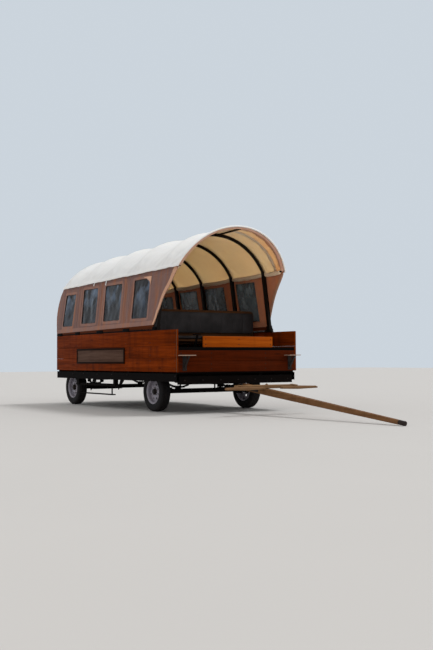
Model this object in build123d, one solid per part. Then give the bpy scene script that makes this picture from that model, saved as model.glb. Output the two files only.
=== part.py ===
from build123d import *
import os
from math import asin, atan2, cos, degrees, hypot, radians, sin

# A horse-drawn covered passenger wagon on pneumatic tyres. Lengths are in millimetres.
# +X points forward along the pole, +Y to the wagon's left, +Z up, with the ground at z = 0.
# Every place is first worked out from the outer face of the front wall, at u = 0, with u
# forward; FRONT_X then carries it to the frame whose origin is under the wagon's middle.

# Body
BODY_LENGTH = 4330.0
BODY_WIDTH = 2200.0
BOARD = 28.0
BOX_BOTTOM = 622.0
SIDE_TOP = 1250.0
FRONT_TOP = 1153.0
SEAM_HEIGHTS = (830.0, 1012.0)
DECK_BOTTOM = 660.0
DECK_TOP = 690.0
HALF = BODY_WIDTH / 2
INSIDE = HALF - BOARD

# Wheels: light tyre on a five-inch rim, mid-plane set in from the body's side
TYRE_R = 311.0
TYRE_W = 168.0
RIM_FLANGE_R = 194.0
RIM_HALF_W = 73.0
WHEEL_Y = 857.0
FRONT_AXLE_U = -1020.0
REAR_AXLE_U = -4000.0
KINGPIN_Y = 700.0
STEER_ARM = 180.0
RUNNING = 0.05

# Chassis
RAIL_Z = (480.0, 600.0)
MAIN_RAIL_Y = (440.0, 500.0)
SIDE_RAIL_Y = (1040.0, 1090.0)
YOKE_U = -520.0
ARM_Z = (352.0, 374.0)

# Canopy
HOOP_U = (-640.0, -1570.0, -2530.0, -3440.0, -4210.0)
BOW_INSET = 25.0
CURTAIN_FOOT_U = -702.0
EAVE_U = (-4210.0, -130.0)
EAVE_Z = (2125.0, 2205.0)
ARCH_HALF = 1000.0
# Rise of the cloth above the eave at the front bow, and at each hoop from the front
BOW_RISE = 620.0
HOOP_RISE = (617.0, 615.0, 600.0, 584.0, 560.0)
CLOTH = 6.0
PANE = 2.5
SEAM_LAP = 18.0
VALANCE = 16.0
BOW_RAKE = 0.35
SAG = 34.0
FRONT_SAG = 16.0
REAR_DIP = 8.0
TUBE_R = 25.0
BOW_TUBE_R = 15.0
# Section of a leg along the wagon and across it
LEG = (64.0, 46.0)
SOCKET = (78.0, 60.0)
LEG_FOOT_Y = 1066.0
LEG_EAVE_Y = 944.0
SLEEVE_R = 28.0
STRUT_R = 15.0
EAVE_STRUT_R = 12.0
STRUT_DROP = 13.0
RAIL_TOP = 1262.0
STRIP = 10.0
FOOT_Z = (1298.0, 1338.0)
CANOPY_REAR_U = -4264.0
REAR_SHEET_U = -4254.0
CURTAIN_FOOT = (1100.0, 1290.0)
CURTAIN_EAVE = (978.0, 2205.0)
# Windows of one side: rear edge, front edge, sill, head and how far the head lies to the rear
WINDOWS = (
    (-4110.0, -3680.0, 1410.0, 1992.0, 0.0),
    (-3325.0, -2755.0, 1438.0, 2045.0, 36.0),
    (-2460.0, -1862.0, 1450.0, 2055.0, 36.0),
    (-1445.0, -940.0, 1452.0, 2075.0, 36.0),
)

# Pole
POLE_HINGE_U = 90.0
POLE_HINGE_Z = 400.0
POLE_LENGTH = 3400.0
POLE_TIP_R = 30.0
POLE_DROP = asin(POLE_HINGE_Z / hypot(POLE_LENGTH, POLE_TIP_R)) - atan2(POLE_TIP_R, POLE_LENGTH)
EVENER_S = 600.0
EVENER_HALF = 550.0
SINGLE_Y = 480.0
SINGLE_S = 80.0

# Rear gate
GATE_HALF = 345.0
GATE_Z = (640.0, 1245.0)
GATE_HINGE = (-4340.0, 350.0)

# Doorway over the gate: half width, sill and head
DOORWAY = (360.0, 1298.0, 2250.0)

REAR_REACH = 4580.0
POLE_REACH = POLE_HINGE_U + POLE_LENGTH * cos(POLE_DROP) + POLE_TIP_R * sin(POLE_DROP)
FRONT_X = (REAR_REACH - POLE_REACH) / 2

parts = {}


def block(u0, u1, y0, y1, z0, z1):
    """A box given by its lowest and highest corner."""
    low = (min(u0, u1), min(y0, y1), min(z0, z1))
    size = (abs(u1 - u0), abs(y1 - y0), abs(z1 - z0))
    middle = tuple(low[i] + size[i] / 2 for i in range(3))
    return Pos(*middle) * Box(*size)


def rod(start, end, radius):
    """A round bar between two points."""
    line = Vector(*end) - Vector(*start)
    plane = Plane(origin=start, z_dir=line)
    return extrude(plane * Circle(radius), line.length)


def bar(start, end, width, height, x_dir):
    """A square-edged bar between two points, its width along x_dir."""
    line = Vector(*end) - Vector(*start)
    plane = Plane(origin=start, x_dir=x_dir, z_dir=line)
    return extrude(plane * Rectangle(width, height), line.length)


def upright(u, y, z0, z1, radius):
    """A vertical round bar."""
    return rod((u, y, z0), (u, y, z1), radius)


def across(u, z, y0, y1, radius):
    """A round bar along the wagon's width."""
    return rod((u, min(y0, y1), z), (u, max(y0, y1), z), radius)


def plan(points, z0, z1):
    """A plate of the plan outline given, between two heights."""
    face = make_face(Polyline(*[(u, y, z0) for u, y in points], close=True))
    return extrude(face, z1 - z0, dir=(0, 0, 1))


def side_view(points, y0, y1):
    """A plate of the outline given in u and z, between two widths."""
    face = make_face(Polyline(*[(u, y0, z) for u, z in points], close=True))
    return extrude(face, y1 - y0, dir=(0, 1, 0))


def front_view(points, u0, u1):
    """A plate of the outline given in y and z, between two lengths."""
    face = make_face(Polyline(*[(u0, y, z) for y, z in points], close=True))
    return extrude(face, u1 - u0, dir=(1, 0, 0))


def both_sides(shape):
    """The shape of the right side and its mirror image on the left."""
    return [shape, mirror(shape, about=Plane.XZ)]


def fuse(pieces):
    """One solid of pieces that overlap or share a face."""
    first, *rest = pieces
    for piece in rest:
        first = first + piece
    return first


def eave_height(u):
    """The canopy rises a little towards the front."""
    share = (u - EAVE_U[0]) / (EAVE_U[1] - EAVE_U[0])
    return EAVE_Z[0] + share * (EAVE_Z[1] - EAVE_Z[0])


# Frame under the floor

def main_rails():
    rail = block(-BODY_LENGTH + 45, -90, -MAIN_RAIL_Y[1], -MAIN_RAIL_Y[0], *RAIL_Z)
    return both_sides(rail)


def side_rails():
    """Channels with their open side inwards, outboard of the tyres."""
    outer = block(-BODY_LENGTH, -BOARD, -SIDE_RAIL_Y[1], -SIDE_RAIL_Y[0], *RAIL_Z)
    web = 7.0
    hollow = block(-BODY_LENGTH, -BOARD, -SIDE_RAIL_Y[1] + web, -SIDE_RAIL_Y[0],
                   RAIL_Z[0] + web, RAIL_Z[1] - web)
    return both_sides(outer - hollow)


BEARER_U = (-60.0, YOKE_U, -1560.0, -2100.0, -2640.0, -3180.0, -3620.0, -4277.0)


def cross_members():
    """The front and rear beams, and the bearers that carry the deck on the rails."""
    reach = SIDE_RAIL_Y[0]
    beams = [block(-90, -30, -reach, reach, 440, 560),
             block(-BODY_LENGTH, -BODY_LENGTH + 45, -reach, reach, *RAIL_Z)]
    bearers = [block(u - 25, u + 25, -1068, 1068, RAIL_Z[1], DECK_BOTTOM) for u in BEARER_U]
    centre = block(YOKE_U - 70, YOKE_U + 70, -MAIN_RAIL_Y[0], MAIN_RAIL_Y[0], *RAIL_Z)
    pivot = upright(YOKE_U, 0, 378, RAIL_Z[0], 48) - upright(YOKE_U, 0, 378, 470, 20 + RUNNING)
    return [beams[0], beams[1] + bearers[-1], fuse([centre, bearers[1], pivot])] + [
        bearers[0]] + bearers[2:-1]


def floor_deck():
    """Lengthwise planks, with a groove at every joint."""
    deck = block(-BODY_LENGTH + BOARD, -BOARD, -INSIDE, INSIDE, DECK_BOTTOM, DECK_TOP)
    planks = 12
    pitch = 2 * INSIDE / planks
    for i in range(1, planks):
        y = -INSIDE + i * pitch
        deck -= block(-BODY_LENGTH, 0, y - 2, y + 2, DECK_TOP - 5, DECK_TOP + 5)
    return [deck]


# Wooden box

def side_walls():
    """Three boards with a bevelled joint between them on the outer face."""
    bevel = 7.0
    outline = [(-HALF, BOX_BOTTOM)]
    for seam in SEAM_HEIGHTS:
        outline += [(-HALF, seam - bevel), (-HALF + bevel, seam), (-HALF, seam + bevel)]
    outline += [(-HALF, SIDE_TOP), (-INSIDE, SIDE_TOP), (-INSIDE, BOX_BOTTOM)]
    return both_sides(front_view(outline, -BODY_LENGTH, 0))


FRONT_RAIL_Z = (942.0, 990.0)
ENTRY_Y = 640.0


def front_wall():
    """A low panel right across and a top board between the two entries."""
    panel = block(-BOARD, 0, -INSIDE, INSIDE, BOX_BOTTOM, FRONT_RAIL_Z[0])
    panel -= block(-6, 0, -INSIDE, INSIDE, 779, 783)
    board = block(-BOARD, 0, -ENTRY_Y, ENTRY_Y, FRONT_RAIL_Z[1], FRONT_TOP)
    return [panel, board]


def front_rail():
    """The dark steel rail between the two, with the posts of the top board."""
    rail = block(-60, -10, -INSIDE, INSIDE, *FRONT_RAIL_Z)
    pieces = [rail]
    for y in (-ENTRY_Y + 30, 0, ENTRY_Y - 30):
        pieces.append(block(-58, -BOARD, y - 25, y + 25, FRONT_RAIL_Z[1], FRONT_TOP - 10))
    return [fuse(pieces)]


def rear_wall():
    panel = block(-BODY_LENGTH, -BODY_LENGTH + BOARD, -INSIDE, -GATE_HALF - 10,
                  BOX_BOTTOM, SIDE_TOP)
    for seam in SEAM_HEIGHTS:
        panel -= block(-BODY_LENGTH, -BODY_LENGTH + 5, -INSIDE, 0, seam - 2, seam + 2)
    return both_sides(panel)


def gate_hinges():
    """The fixed leaf, lower knuckle and pin of each gate hinge."""
    u, y = GATE_HINGE
    found = []
    for z in (790.0, 1100.0):
        leaf = block(-BODY_LENGTH - 4, -BODY_LENGTH, y + 13, y + 90, z - 30, z + 30)
        neck = block(-BODY_LENGTH - 13, -BODY_LENGTH - 4, y + 2, y + 18, z - 30, z - 2)
        knuckle = upright(u, y, z - 30, z - 2, 9)
        pin = upright(u, y, z - 2, z + 28, 5)
        found.append(fuse([leaf, neck, knuckle, pin]))
    return found


def rear_gate():
    """The boarded gate with its upper hinge knuckles and straps."""
    u, y = GATE_HINGE
    gate = block(-BODY_LENGTH, -BODY_LENGTH + BOARD, -GATE_HALF, GATE_HALF, *GATE_Z)
    for seam in SEAM_HEIGHTS:
        gate -= block(-BODY_LENGTH, -BODY_LENGTH + 5, -GATE_HALF, GATE_HALF, seam - 2, seam + 2)
    for z in (790.0, 1100.0):
        strap = block(-BODY_LENGTH - 4, -BODY_LENGTH, -60, y - 13, z - 20, z + 30)
        neck = block(-BODY_LENGTH - 13, -BODY_LENGTH - 4, y - 18, y - 2, z + 2, z + 30)
        barrel = upright(u, y, z + 2, z + 30, 9)
        gate = fuse([gate, strap, neck, barrel]) - upright(u, y, z - 5, z + 29, 5 + RUNNING)
    return [gate]


def top_rails():
    """Flat rails on the side boards, with a socket for each hoop leg."""
    front = HOOP_U[0] + 70
    pieces = [block(-BODY_LENGTH + STRIP, front, -HALF + STRIP, -INSIDE + 20, SIDE_TOP, RAIL_TOP)]
    foot_y, top_y = -HALF + 10, -LEG_FOOT_Y + 30
    for u in HOOP_U:
        pieces.append(block(u - 100, u + 60, foot_y, top_y, RAIL_TOP, RAIL_TOP + 22))
        pieces.append(socket(u))
    rail = fuse(pieces)
    for u in HOOP_U:
        rail -= bar(leg_point(u, 0), leg_point(u, 140), *LEG, (1, 0, 0))
    return both_sides(rail)


def socket(u):
    """The square socket round a right-hand leg's foot."""
    return bar(leg_point(u, 0), leg_point(u, 90), *SOCKET, (1, 0, 0))


def cap_strips():
    """Thin boards between the box and the curtains, rising to the front, and round the rear
    corner to the doorway; each is notched for the sockets."""
    front = CURTAIN_FOOT_U + 6
    outline = [(-BODY_LENGTH, SIDE_TOP), (front, SIDE_TOP),
               (front, FOOT_Z[1] - 2), (-BODY_LENGTH, FOOT_Z[0] - 2)]
    strip = side_view(outline, -HALF, -HALF + STRIP)
    strip += block(-BODY_LENGTH, -BODY_LENGTH + STRIP, -HALF, -DOORWAY[0], SIDE_TOP, FOOT_Z[0] - 2)
    for u in HOOP_U:
        strip -= socket(u)
    return both_sides(strip)


# Hoops and canopy

def leg_point(u, height):
    """A point on a right-hand leg's axis, height above the top rail."""
    share = height / (eave_height(u) - RAIL_TOP)
    return (u, -LEG_FOOT_Y + share * (LEG_FOOT_Y - LEG_EAVE_Y), RAIL_TOP + height)


def knuckle(u):
    """The sleeve where a leg meets its arch, at the eave."""
    z = eave_height(u)
    return rod((u, -LEG_EAVE_Y - 5, z - 70), (u, -LEG_EAVE_Y + 22, z + 42), SLEEVE_R)


def hoop_legs():
    legs = []
    for u in HOOP_U:
        top = leg_point(u, eave_height(u) - RAIL_TOP - 20)
        leg = bar((u, -LEG_FOOT_Y, RAIL_TOP), top, *LEG, (1, 0, 0))
        legs += both_sides(leg + knuckle(u))
    return legs


def tube_rise(rise, radius):
    """The rise of a tube's axis under cloth of the rise given, with 2 mm between them."""
    return rise - CLOTH - radius - 2


def arch_tube(u, rise, radius=TUBE_R, rake=0.0):
    """A round tube bent to one arc between the two eaves, leaning forward by its rake."""
    z = eave_height(u)
    rise = tube_rise(rise, radius)
    path = ThreePointArc((u, -LEG_EAVE_Y, z), (u + rake * rise, 0, z + rise), (u, LEG_EAVE_Y, z))
    start = path % 0
    return sweep(Plane(origin=path @ 0, z_dir=start) * Circle(radius), path=path)


def hoop_arch(u, rise):
    """The tube between its two sleeves, without the stubs inside them."""
    tube = arch_tube(u, rise)
    for sleeve in both_sides(knuckle(u)):
        tube -= sleeve
    return [max(tube.solids(), key=lambda solid: solid.volume)]


def front_bow():
    """The raked bow under the canopy's front edge, held off the first hoop by three struts."""
    back, front = HOOP_U[0], EAVE_U[1] - BOW_INSET
    z_back, z_front = eave_height(back), eave_height(front)
    rise = tube_rise(BOW_RISE, BOW_TUBE_R)
    ridge = rod((back, 0, z_back + tube_rise(HOOP_RISE[0], TUBE_R) - STRUT_DROP),
                (front + BOW_RAKE * rise, 0, z_front + rise - STRUT_DROP), STRUT_R)
    ridge -= arch_tube(back, HOOP_RISE[0])
    ridge = max(ridge.solids(), key=lambda solid: solid.volume)
    end = (front, -LEG_EAVE_Y, z_front)
    strut = rod((back, -LEG_EAVE_Y, z_back), end, EAVE_STRUT_R) - knuckle(back)
    strut = max(strut.solids(), key=lambda solid: solid.volume) + Pos(*end) * Sphere(BOW_TUBE_R + 3)
    return [fuse([arch_tube(front, BOW_RISE, BOW_TUBE_R, BOW_RAKE), ridge] + both_sides(strut))]


def canopy_section(u, crown, rake=0.0):
    """The cloth's closed section: outer arc to its crown, hanging hem, and the same inside."""
    z = eave_height(u)
    points = []
    for inset in (0.0, CLOTH):
        half = ARCH_HALF - inset
        rise = crown - inset
        hem = (u - rake * VALANCE, z - VALANCE)
        points.append(((hem[0], -half, hem[1]), (u, -half, z), (u + rake * rise, 0, z + rise),
                       (u, half, z), (hem[0], half, hem[1])))
    outer, inner = points
    edges = [Line(outer[0], outer[1]), ThreePointArc(outer[1], outer[2], outer[3]),
             Line(outer[3], outer[4]), Line(outer[4], inner[4]), Line(inner[4], inner[3]),
             ThreePointArc(inner[3], inner[2], inner[1]), Line(inner[1], inner[0]),
             Line(inner[0], outer[0])]
    return Wire(edges)


def canopy_top():
    """The white top, ruled between hoops and the lower sags halfway between them."""
    before, crown = HOOP_U[0], HOOP_RISE[0]
    stations = [(EAVE_U[1], BOW_RISE, BOW_RAKE),
                ((EAVE_U[1] + before) / 2, (BOW_RISE + crown) / 2 - FRONT_SAG, BOW_RAKE / 2),
                (before, crown)]
    for u, rise in zip(HOOP_U[1:], HOOP_RISE[1:]):
        stations += [((before + u) / 2, (crown + rise) / 2 - SAG), (u, rise)]
        before, crown = u, rise
    stations.append((CANOPY_REAR_U, crown - REAR_DIP))
    return [Solid.make_loft([canopy_section(*s) for s in stations], ruled=True)]


def curtain_y(z):
    """The curtain's outer face at a height, on the right side."""
    share = (z - CURTAIN_FOOT[1]) / (CURTAIN_EAVE[1] - CURTAIN_FOOT[1])
    return -(CURTAIN_FOOT[0] + share * (CURTAIN_EAVE[0] - CURTAIN_FOOT[0]))


def leaning_sheet(inset, thickness, z0, z1, u0, u1):
    """A flat sheet parallel to the curtain's outer face, inset from it."""
    ya, yb = curtain_y(z0) + inset, curtain_y(z1) + inset
    outline = [(ya, z0), (yb, z1), (yb + thickness, z1), (ya + thickness, z0)]
    return front_view(outline, u0, u1)


def window_shape(window, lap):
    """A window's outline, widened by a lap all round, right through the curtain."""
    u0, u1, z0, z1, back = window
    outline = [(u0 - lap, z0 - lap), (u1 + lap, z0 - lap),
               (u1 - back + lap, z1 + lap), (u0 - back - lap, z1 + lap)]
    return side_view(outline, -1200, -900)


def side_curtains():
    """Tan sheets from the top rail to the eave, raked at the front, with four windows."""
    sheet = leaning_sheet(0, CLOTH, 1290, 2200, -4460, 0)
    foot, head = (-BODY_LENGTH + 10, FOOT_Z[0]), (REAR_SHEET_U, eave_height(EAVE_U[0]) - 8)
    rear = ThreePointArc((foot[0], -1200, foot[1]), (-4435, -1200, 1800), (head[0], -1200, head[1]))
    front = Polyline((head[0], -1200, head[1]), (EAVE_U[1] - 8, -1200, EAVE_Z[1] - 8),
                     (CURTAIN_FOOT_U, -1200, FOOT_Z[1]), (foot[0], -1200, foot[1]))
    sheet &= extrude(make_face([rear, front]), 400, dir=(0, 1, 0))
    for window in WINDOWS:
        sheet -= window_shape(window, 0.0)
    return both_sides(sheet)


def window_panes():
    """Clear sheets sewn behind the curtains, lapping each window by a seam."""
    sheet = leaning_sheet(CLOTH, PANE, 1350, 2150, -4300, -700)
    panes = []
    for window in WINDOWS:
        panes += both_sides(sheet & window_shape(window, SEAM_LAP))
    return panes


def rear_curtain():
    """The bellied rear sheet under the last hoop, open over the gate."""
    u_eave, z_eave = REAR_SHEET_U, eave_height(EAVE_U[0]) - 8
    bulge, foot = -4430.0, (-BODY_LENGTH + 12, FOOT_Z[0])
    edges = []
    for inset in (0.0, CLOTH):
        edges.append(((u_eave + inset, -1100, z_eave + HOOP_RISE[-1]), (u_eave + inset, -1100, z_eave),
                      (bulge + inset, -1100, 1800), (foot[0] + inset, -1100, foot[1])))
    a, b = edges
    profile = [Line(a[0], a[1]), ThreePointArc(a[1], a[2], a[3]), Line(a[3], b[3]),
               ThreePointArc(b[3], b[2], b[1]), Line(b[1], b[0]), Line(b[0], a[0])]
    sheet = extrude(make_face(profile), 2200, dir=(0, 1, 0))
    half, rise = ARCH_HALF - CLOTH - 2, HOOP_RISE[-1] - CLOTH - 16
    z = eave_height(EAVE_U[0])
    inner = CURTAIN_FOOT[0] - CLOTH - 4
    eave_inner = -curtain_y(z - 10) - CLOTH - 4
    border = [Line((-4600, -inner, 1290), (-4600, -eave_inner, z - 10)),
              Line((-4600, -eave_inner, z - 10), (-4600, -half, z)),
              ThreePointArc((-4600, -half, z), (-4600, 0, z + rise), (-4600, half, z)),
              Line((-4600, half, z), (-4600, eave_inner, z - 10)),
              Line((-4600, eave_inner, z - 10), (-4600, inner, 1290)),
              Line((-4600, inner, 1290), (-4600, -inner, 1290))]
    sheet &= extrude(make_face(border), 600, dir=(1, 0, 0))
    half_door, sill, head = DOORWAY
    return [sheet - block(-4600, -4000, -half_door, half_door, sill - 50, head)]


# Seats

def bench_frames():
    """A seat board on panel legs along each side."""
    seat = block(-4250, -1250, -1045, -690, 1080, 1110)
    legs = [block(u - 15, u + 15, -1040, -720, DECK_TOP, 1080) for u in (-4180, -3220, -2260, -1330)]
    return both_sides(fuse([seat] + legs))


def bench_cushions():
    return both_sides(block(-4240, -1260, -1040, -700, 1110, 1165))


def driver_seat():
    """The driver's bench across the front, with its board back."""
    seat = block(-960, -570, -990, 990, 1090, 1120)
    seat = fillet(seat.edges().filter_by(Axis.Z).group_by(Axis.X)[-1], 40)
    back = block(-985, -960, -960, 960, 1090, 1600)
    back = fillet(back.edges().filter_by(Axis.X).group_by(Axis.Z)[-1], 70)
    legs = [block(-950, -590, y - 15, y + 15, DECK_TOP, 1090) for y in (-900, 0, 900)]
    return [fuse([seat, back] + legs)]


def driver_cushions():
    seat = block(-950, -575, -970, 970, 1120, 1180)
    back = block(-960, -915, -940, 940, 1225, 1570)
    return [seat, back]


# Steps, signs and small fittings

def front_steps():
    """A foot plate on a diagonal bracket at each front entry."""
    plate = block(4, 150, -1080, -860, 862, 874)
    mount = block(0, 6, -1005, -935, 640, 874)
    brace = bar((6, -970, 680), (140, -970, 862), 30, 10, (0, 1, 0))
    return both_sides(fuse([plate, mount, brace]))


def side_steps():
    """A carrier tube hung from each side rail, with a low step bar below it."""
    tube = rod((-3600, -1020, 385), (-1960, -1020, 385), 26)
    hangers = [block(u - 35, u + 35, -1060, -1000, 375, RAIL_Z[0]) for u in (-3480, -2080)]
    drops = [bar((u, -1020, 385), (u, -1020, 235), 36, 8, (1, 0, 0)) for u in (-3420, -2230)]
    step = block(-3480, -2170, -1055, -985, 222, 240)
    return both_sides(fuse([tube, step] + hangers + drops))


def rear_steps():
    """Two treads under the gate on side plates hung from the rear beam."""
    pieces = []
    for y in (-300, 294):
        outline = [(-4330, 590), (-4380, 590), (-4580, 250), (-4560, 215), (-4330, 400)]
        pieces.append(side_view(outline, y, y + 6))
    pieces.append(block(-4575, -4400, -294, 294, 250, 262))
    pieces.append(block(-4470, -4340, -294, 294, 425, 437))
    return [fuse(pieces)]


def sign_boards():
    """A blank framed board on each side."""
    u0, u1, z0, z1 = -3425, -1620, 742, 1000
    frame = block(u0, u1, -HALF - 18, -HALF, z0, z1)
    frame -= block(u0 + 28, u1 - 28, -HALF - 18, -HALF - 10, z0 + 28, z1 - 28)
    return both_sides(frame)


def brake_lever():
    """The foot brake's lever and pivot in the right-hand entry."""
    pivot = across(-125, 930, -760, -700, 18)
    base = block(-155, -95, -750, -710, DECK_TOP, 930)
    lever = bar((-125, -730, 930), (-25, -730, 1170), 30, 12, (0, 1, 0))
    pedal = block(-60, 0, -790, -690, 1165, 1180)
    return [fuse([pivot, base, lever, pedal])]


# Axles, springs and steering

BEAM = 70.0
AXLE_Z = TYRE_R
BOSS_R = 32.0
PIN_R = 12.0
STUB_R = 17.5


def front_axle():
    """A beam with an upright boss for the kingpin at each end."""
    beam = block(FRONT_AXLE_U - BEAM / 2, FRONT_AXLE_U + BEAM / 2, -KINGPIN_Y + 30,
                 KINGPIN_Y - 30, AXLE_Z - BEAM / 2, AXLE_Z + BEAM / 2)
    for y in (-KINGPIN_Y, KINGPIN_Y):
        boss = upright(FRONT_AXLE_U, y, AXLE_Z - 36, AXLE_Z + 36, BOSS_R)
        beam = beam + boss - upright(FRONT_AXLE_U, y, 0, 500, PIN_R + RUNNING)
    return [beam]


def stub(u, side):
    """The spindle that a wheel turns on."""
    return across(u, AXLE_Z, side * 752, side * (WHEEL_Y + 16), STUB_R)


def rear_axle():
    half = 752.0
    beam = block(REAR_AXLE_U - BEAM / 2, REAR_AXLE_U + BEAM / 2, -half, half,
                 AXLE_Z - BEAM / 2, AXLE_Z + BEAM / 2)
    return [fuse([beam, stub(REAR_AXLE_U, -1), stub(REAR_AXLE_U, 1)])]


LEAF = 8.0
LEAF_R = 1180.0
SPRINGS = ((FRONT_AXLE_U, 400.0), (REAR_AXLE_U, 265.0))


def leaf_spring(u, half):
    """Three leaves of one curvature, clamped on the beam and hung from the rail by eyes."""
    y0, y1 = -MAIN_RAIL_Y[1] + 5, -MAIN_RAIL_Y[0] - 5
    seat = AXLE_Z + BEAM / 2 + 12
    middle = seat + LEAF_R + 3 * LEAF
    pieces = []
    for i, share in enumerate((1.0, 0.7, 0.42)):
        ring = across(u, middle, y0, y1, LEAF_R + (i + 1) * LEAF)
        ring -= across(u, middle, y0, y1, LEAF_R + i * LEAF)
        pieces.append(ring & block(u - half * share, u + half * share, y0, y1, seat - 30, seat + 150))
    pieces.append(block(u - 45, u + 45, y0 - 4, y1 + 4, AXLE_Z + BEAM / 2, seat + 3 * LEAF + 8))
    drop = middle - (LEAF_R ** 2 - half ** 2) ** 0.5
    for end in (u - half, u + half):
        pieces.append(across(end, drop, y0, y1, 15))
        pieces.append(block(end - 18, end + 18, y0 - 5, y1 + 5, drop - 8, RAIL_Z[0]))
    return fuse(pieces)


def springs():
    found = []
    for u, half in SPRINGS:
        found += both_sides(leaf_spring(u, half))
    return found


def knuckle_right():
    """The fork round the boss, its kingpin, spindle and forward arm."""
    y = -KINGPIN_Y
    upper = block(FRONT_AXLE_U - 30, FRONT_AXLE_U + 30, y - 52, y + 30, *ARM_Z)
    lower = block(FRONT_AXLE_U - 30, FRONT_AXLE_U + 30, y - 52, y + 30, 248, 270)
    back = block(FRONT_AXLE_U - 30, FRONT_AXLE_U + 30, y - 52, y - 35, 248, ARM_Z[1])
    pin = upright(FRONT_AXLE_U, y, 248, ARM_Z[1], PIN_R)
    arm = block(FRONT_AXLE_U, FRONT_AXLE_U + STEER_ARM, y - 14, y + 14, *ARM_Z)
    eye = upright(FRONT_AXLE_U + STEER_ARM, y, *ARM_Z, 18)
    ball = upright(FRONT_AXLE_U + STEER_ARM, y, 316, ARM_Z[0], 8)
    return fuse([upper, lower, back, pin, stub(FRONT_AXLE_U, -1), arm, eye, ball])


def tie_rod(side, eye_z):
    """A rod from a knuckle's arm to the yoke, an upright eye at each end."""
    outer = (FRONT_AXLE_U + STEER_ARM, side * KINGPIN_Y)
    inner = (YOKE_U + STEER_ARM, 0.0)
    outer_z = (320.0, 346.0)
    a = Vector(*outer, sum(outer_z) / 2)
    b = Vector(*inner, sum(eye_z) / 2)
    way = (b - a).normalized()
    link = rod(tuple(a + way * 12), tuple(b - way * 12), 10)
    ends = upright(*outer, *outer_z, 17) + upright(*inner, *eye_z, 17)
    link += ends
    link -= upright(*outer, 300, 360, 8.3)
    return [link - upright(*inner, eye_z[0] - 10, eye_z[1] + 10, 8.3)]


def steer_yoke():
    """The draw plate under the frame: pivot pin, rod pin and the pole's lugs."""
    plate = plan([(YOKE_U - 30, -45), (YOKE_U + 30, -50), (25, -66), (25, 66),
                  (YOKE_U + 30, 50), (YOKE_U - 30, 45)], *ARM_Z)
    pivot = upright(YOKE_U, 0, ARM_Z[0], 465, 20)
    rod_pin = upright(YOKE_U + STEER_ARM, 0, 316, 408, 8)
    head = block(0, 44, -66, 66, ARM_Z[0], 432)
    pieces = [plate, pivot, rod_pin, head]
    for side in (-1, 1):
        pieces.append(block(20, POLE_HINGE_U + 35, side * 50, side * 66, ARM_Z[0] + 14, 432))
    pieces.append(across(POLE_HINGE_U, POLE_HINGE_Z, -66, 66, PIN_R))
    return [fuse(pieces)]


# Wheels

def revolved(outline):
    """A ring turned about the wheel's axle from its outline in radius and width."""
    return revolve(make_face(Polyline(*[(r, w, 0) for r, w in outline], close=True)), Axis.Y)


def tyre():
    """Rounded shoulders and a bulged sidewall, seated on the rim."""
    half, tread = TYRE_W / 2, 62.0
    bead_r, bead_w, belly_r, flange_r = 178.0, 60.0, 252.0, RIM_FLANGE_R + 3
    right = [Line((TYRE_R, 0), (TYRE_R, tread)),
             ThreePointArc((TYRE_R, tread), (TYRE_R - 14, tread + 17), (belly_r + 20, half - 1)),
             ThreePointArc((belly_r + 20, half - 1), (belly_r - 18, half - 1), (flange_r, 68)),
             Polyline((flange_r, 68), (flange_r, bead_w), (bead_r, bead_w))]
    left = [mirror(edge, about=Plane.XZ) for edge in right]
    base = Line((bead_r, bead_w), (bead_r, -bead_w))
    return revolve(make_face(right + left + [base]), Axis.Y)


def wheel_disc():
    """Steel rim and dished disc with eight hand holes; +Y is the outer face."""
    rim = revolved([(178, -62), (RIM_FLANGE_R, -66), (RIM_FLANGE_R, -RIM_HALF_W),
                    (186, -RIM_HALF_W), (168, -60), (168, 60), (186, RIM_HALF_W),
                    (RIM_FLANGE_R, RIM_HALF_W), (RIM_FLANGE_R, 66), (178, 62)])
    disc = revolved([(168, 8), (150, 22), (92, 34), (60, 26), (46, 26), (46, 18), (62, 18),
                     (92, 26), (146, 14), (168, -4)])
    holes = [Pos(114 * cos(a), 0, 114 * sin(a)) * Rot(90, 0, 0) * Cylinder(19, 200)
             for a in (radians(22.5 + 45 * i) for i in range(8))]
    return rim + disc - holes


def hub():
    """The hub drum behind the disc and the cap in front, bored for the spindle."""
    drum = revolved([(0, -58), (48, -58), (55, -30), (55, 8), (70, 10), (70, 17), (45, 17),
                     (45, 40), (36, 62), (24, 70), (0, 70)])
    return drum - Pos(0, -21, 0) * Rot(90, 0, 0) * Cylinder(STUB_R + RUNNING, 78)


WHEELS = (("front_right", FRONT_AXLE_U, -1), ("front_left", FRONT_AXLE_U, 1),
          ("rear_right", REAR_AXLE_U, -1), ("rear_left", REAR_AXLE_U, 1))


def place_wheel(shape, u, side):
    turned = shape if side > 0 else mirror(shape, about=Plane.XZ)
    return Pos(u, side * WHEEL_Y, AXLE_Z) * turned


# Pole, evener and singletrees, first along a level pole whose hinge is at the origin

def on_pole(shape):
    """Lay a level shape down on the pole at rest, its tip on the ground."""
    return Pos(POLE_HINGE_U, 0, POLE_HINGE_Z) * Rot(0, degrees(POLE_DROP), 0) * shape


def pole():
    """A timber pole, square at the hinge and tapered to a round-shouldered tip."""
    shank = block(60, 900, -45, 45, -45, 45)
    taper = loft([Plane(origin=(900, 0, 0), z_dir=(1, 0, 0)) * Rectangle(90, 90),
                  Plane(origin=(3300, 0, 0), z_dir=(1, 0, 0)) * Rectangle(52, 52)])
    return [shank + taper - rod((EVENER_S, 0, -20), (EVENER_S, 0, 60), 10 + RUNNING)]


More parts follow.
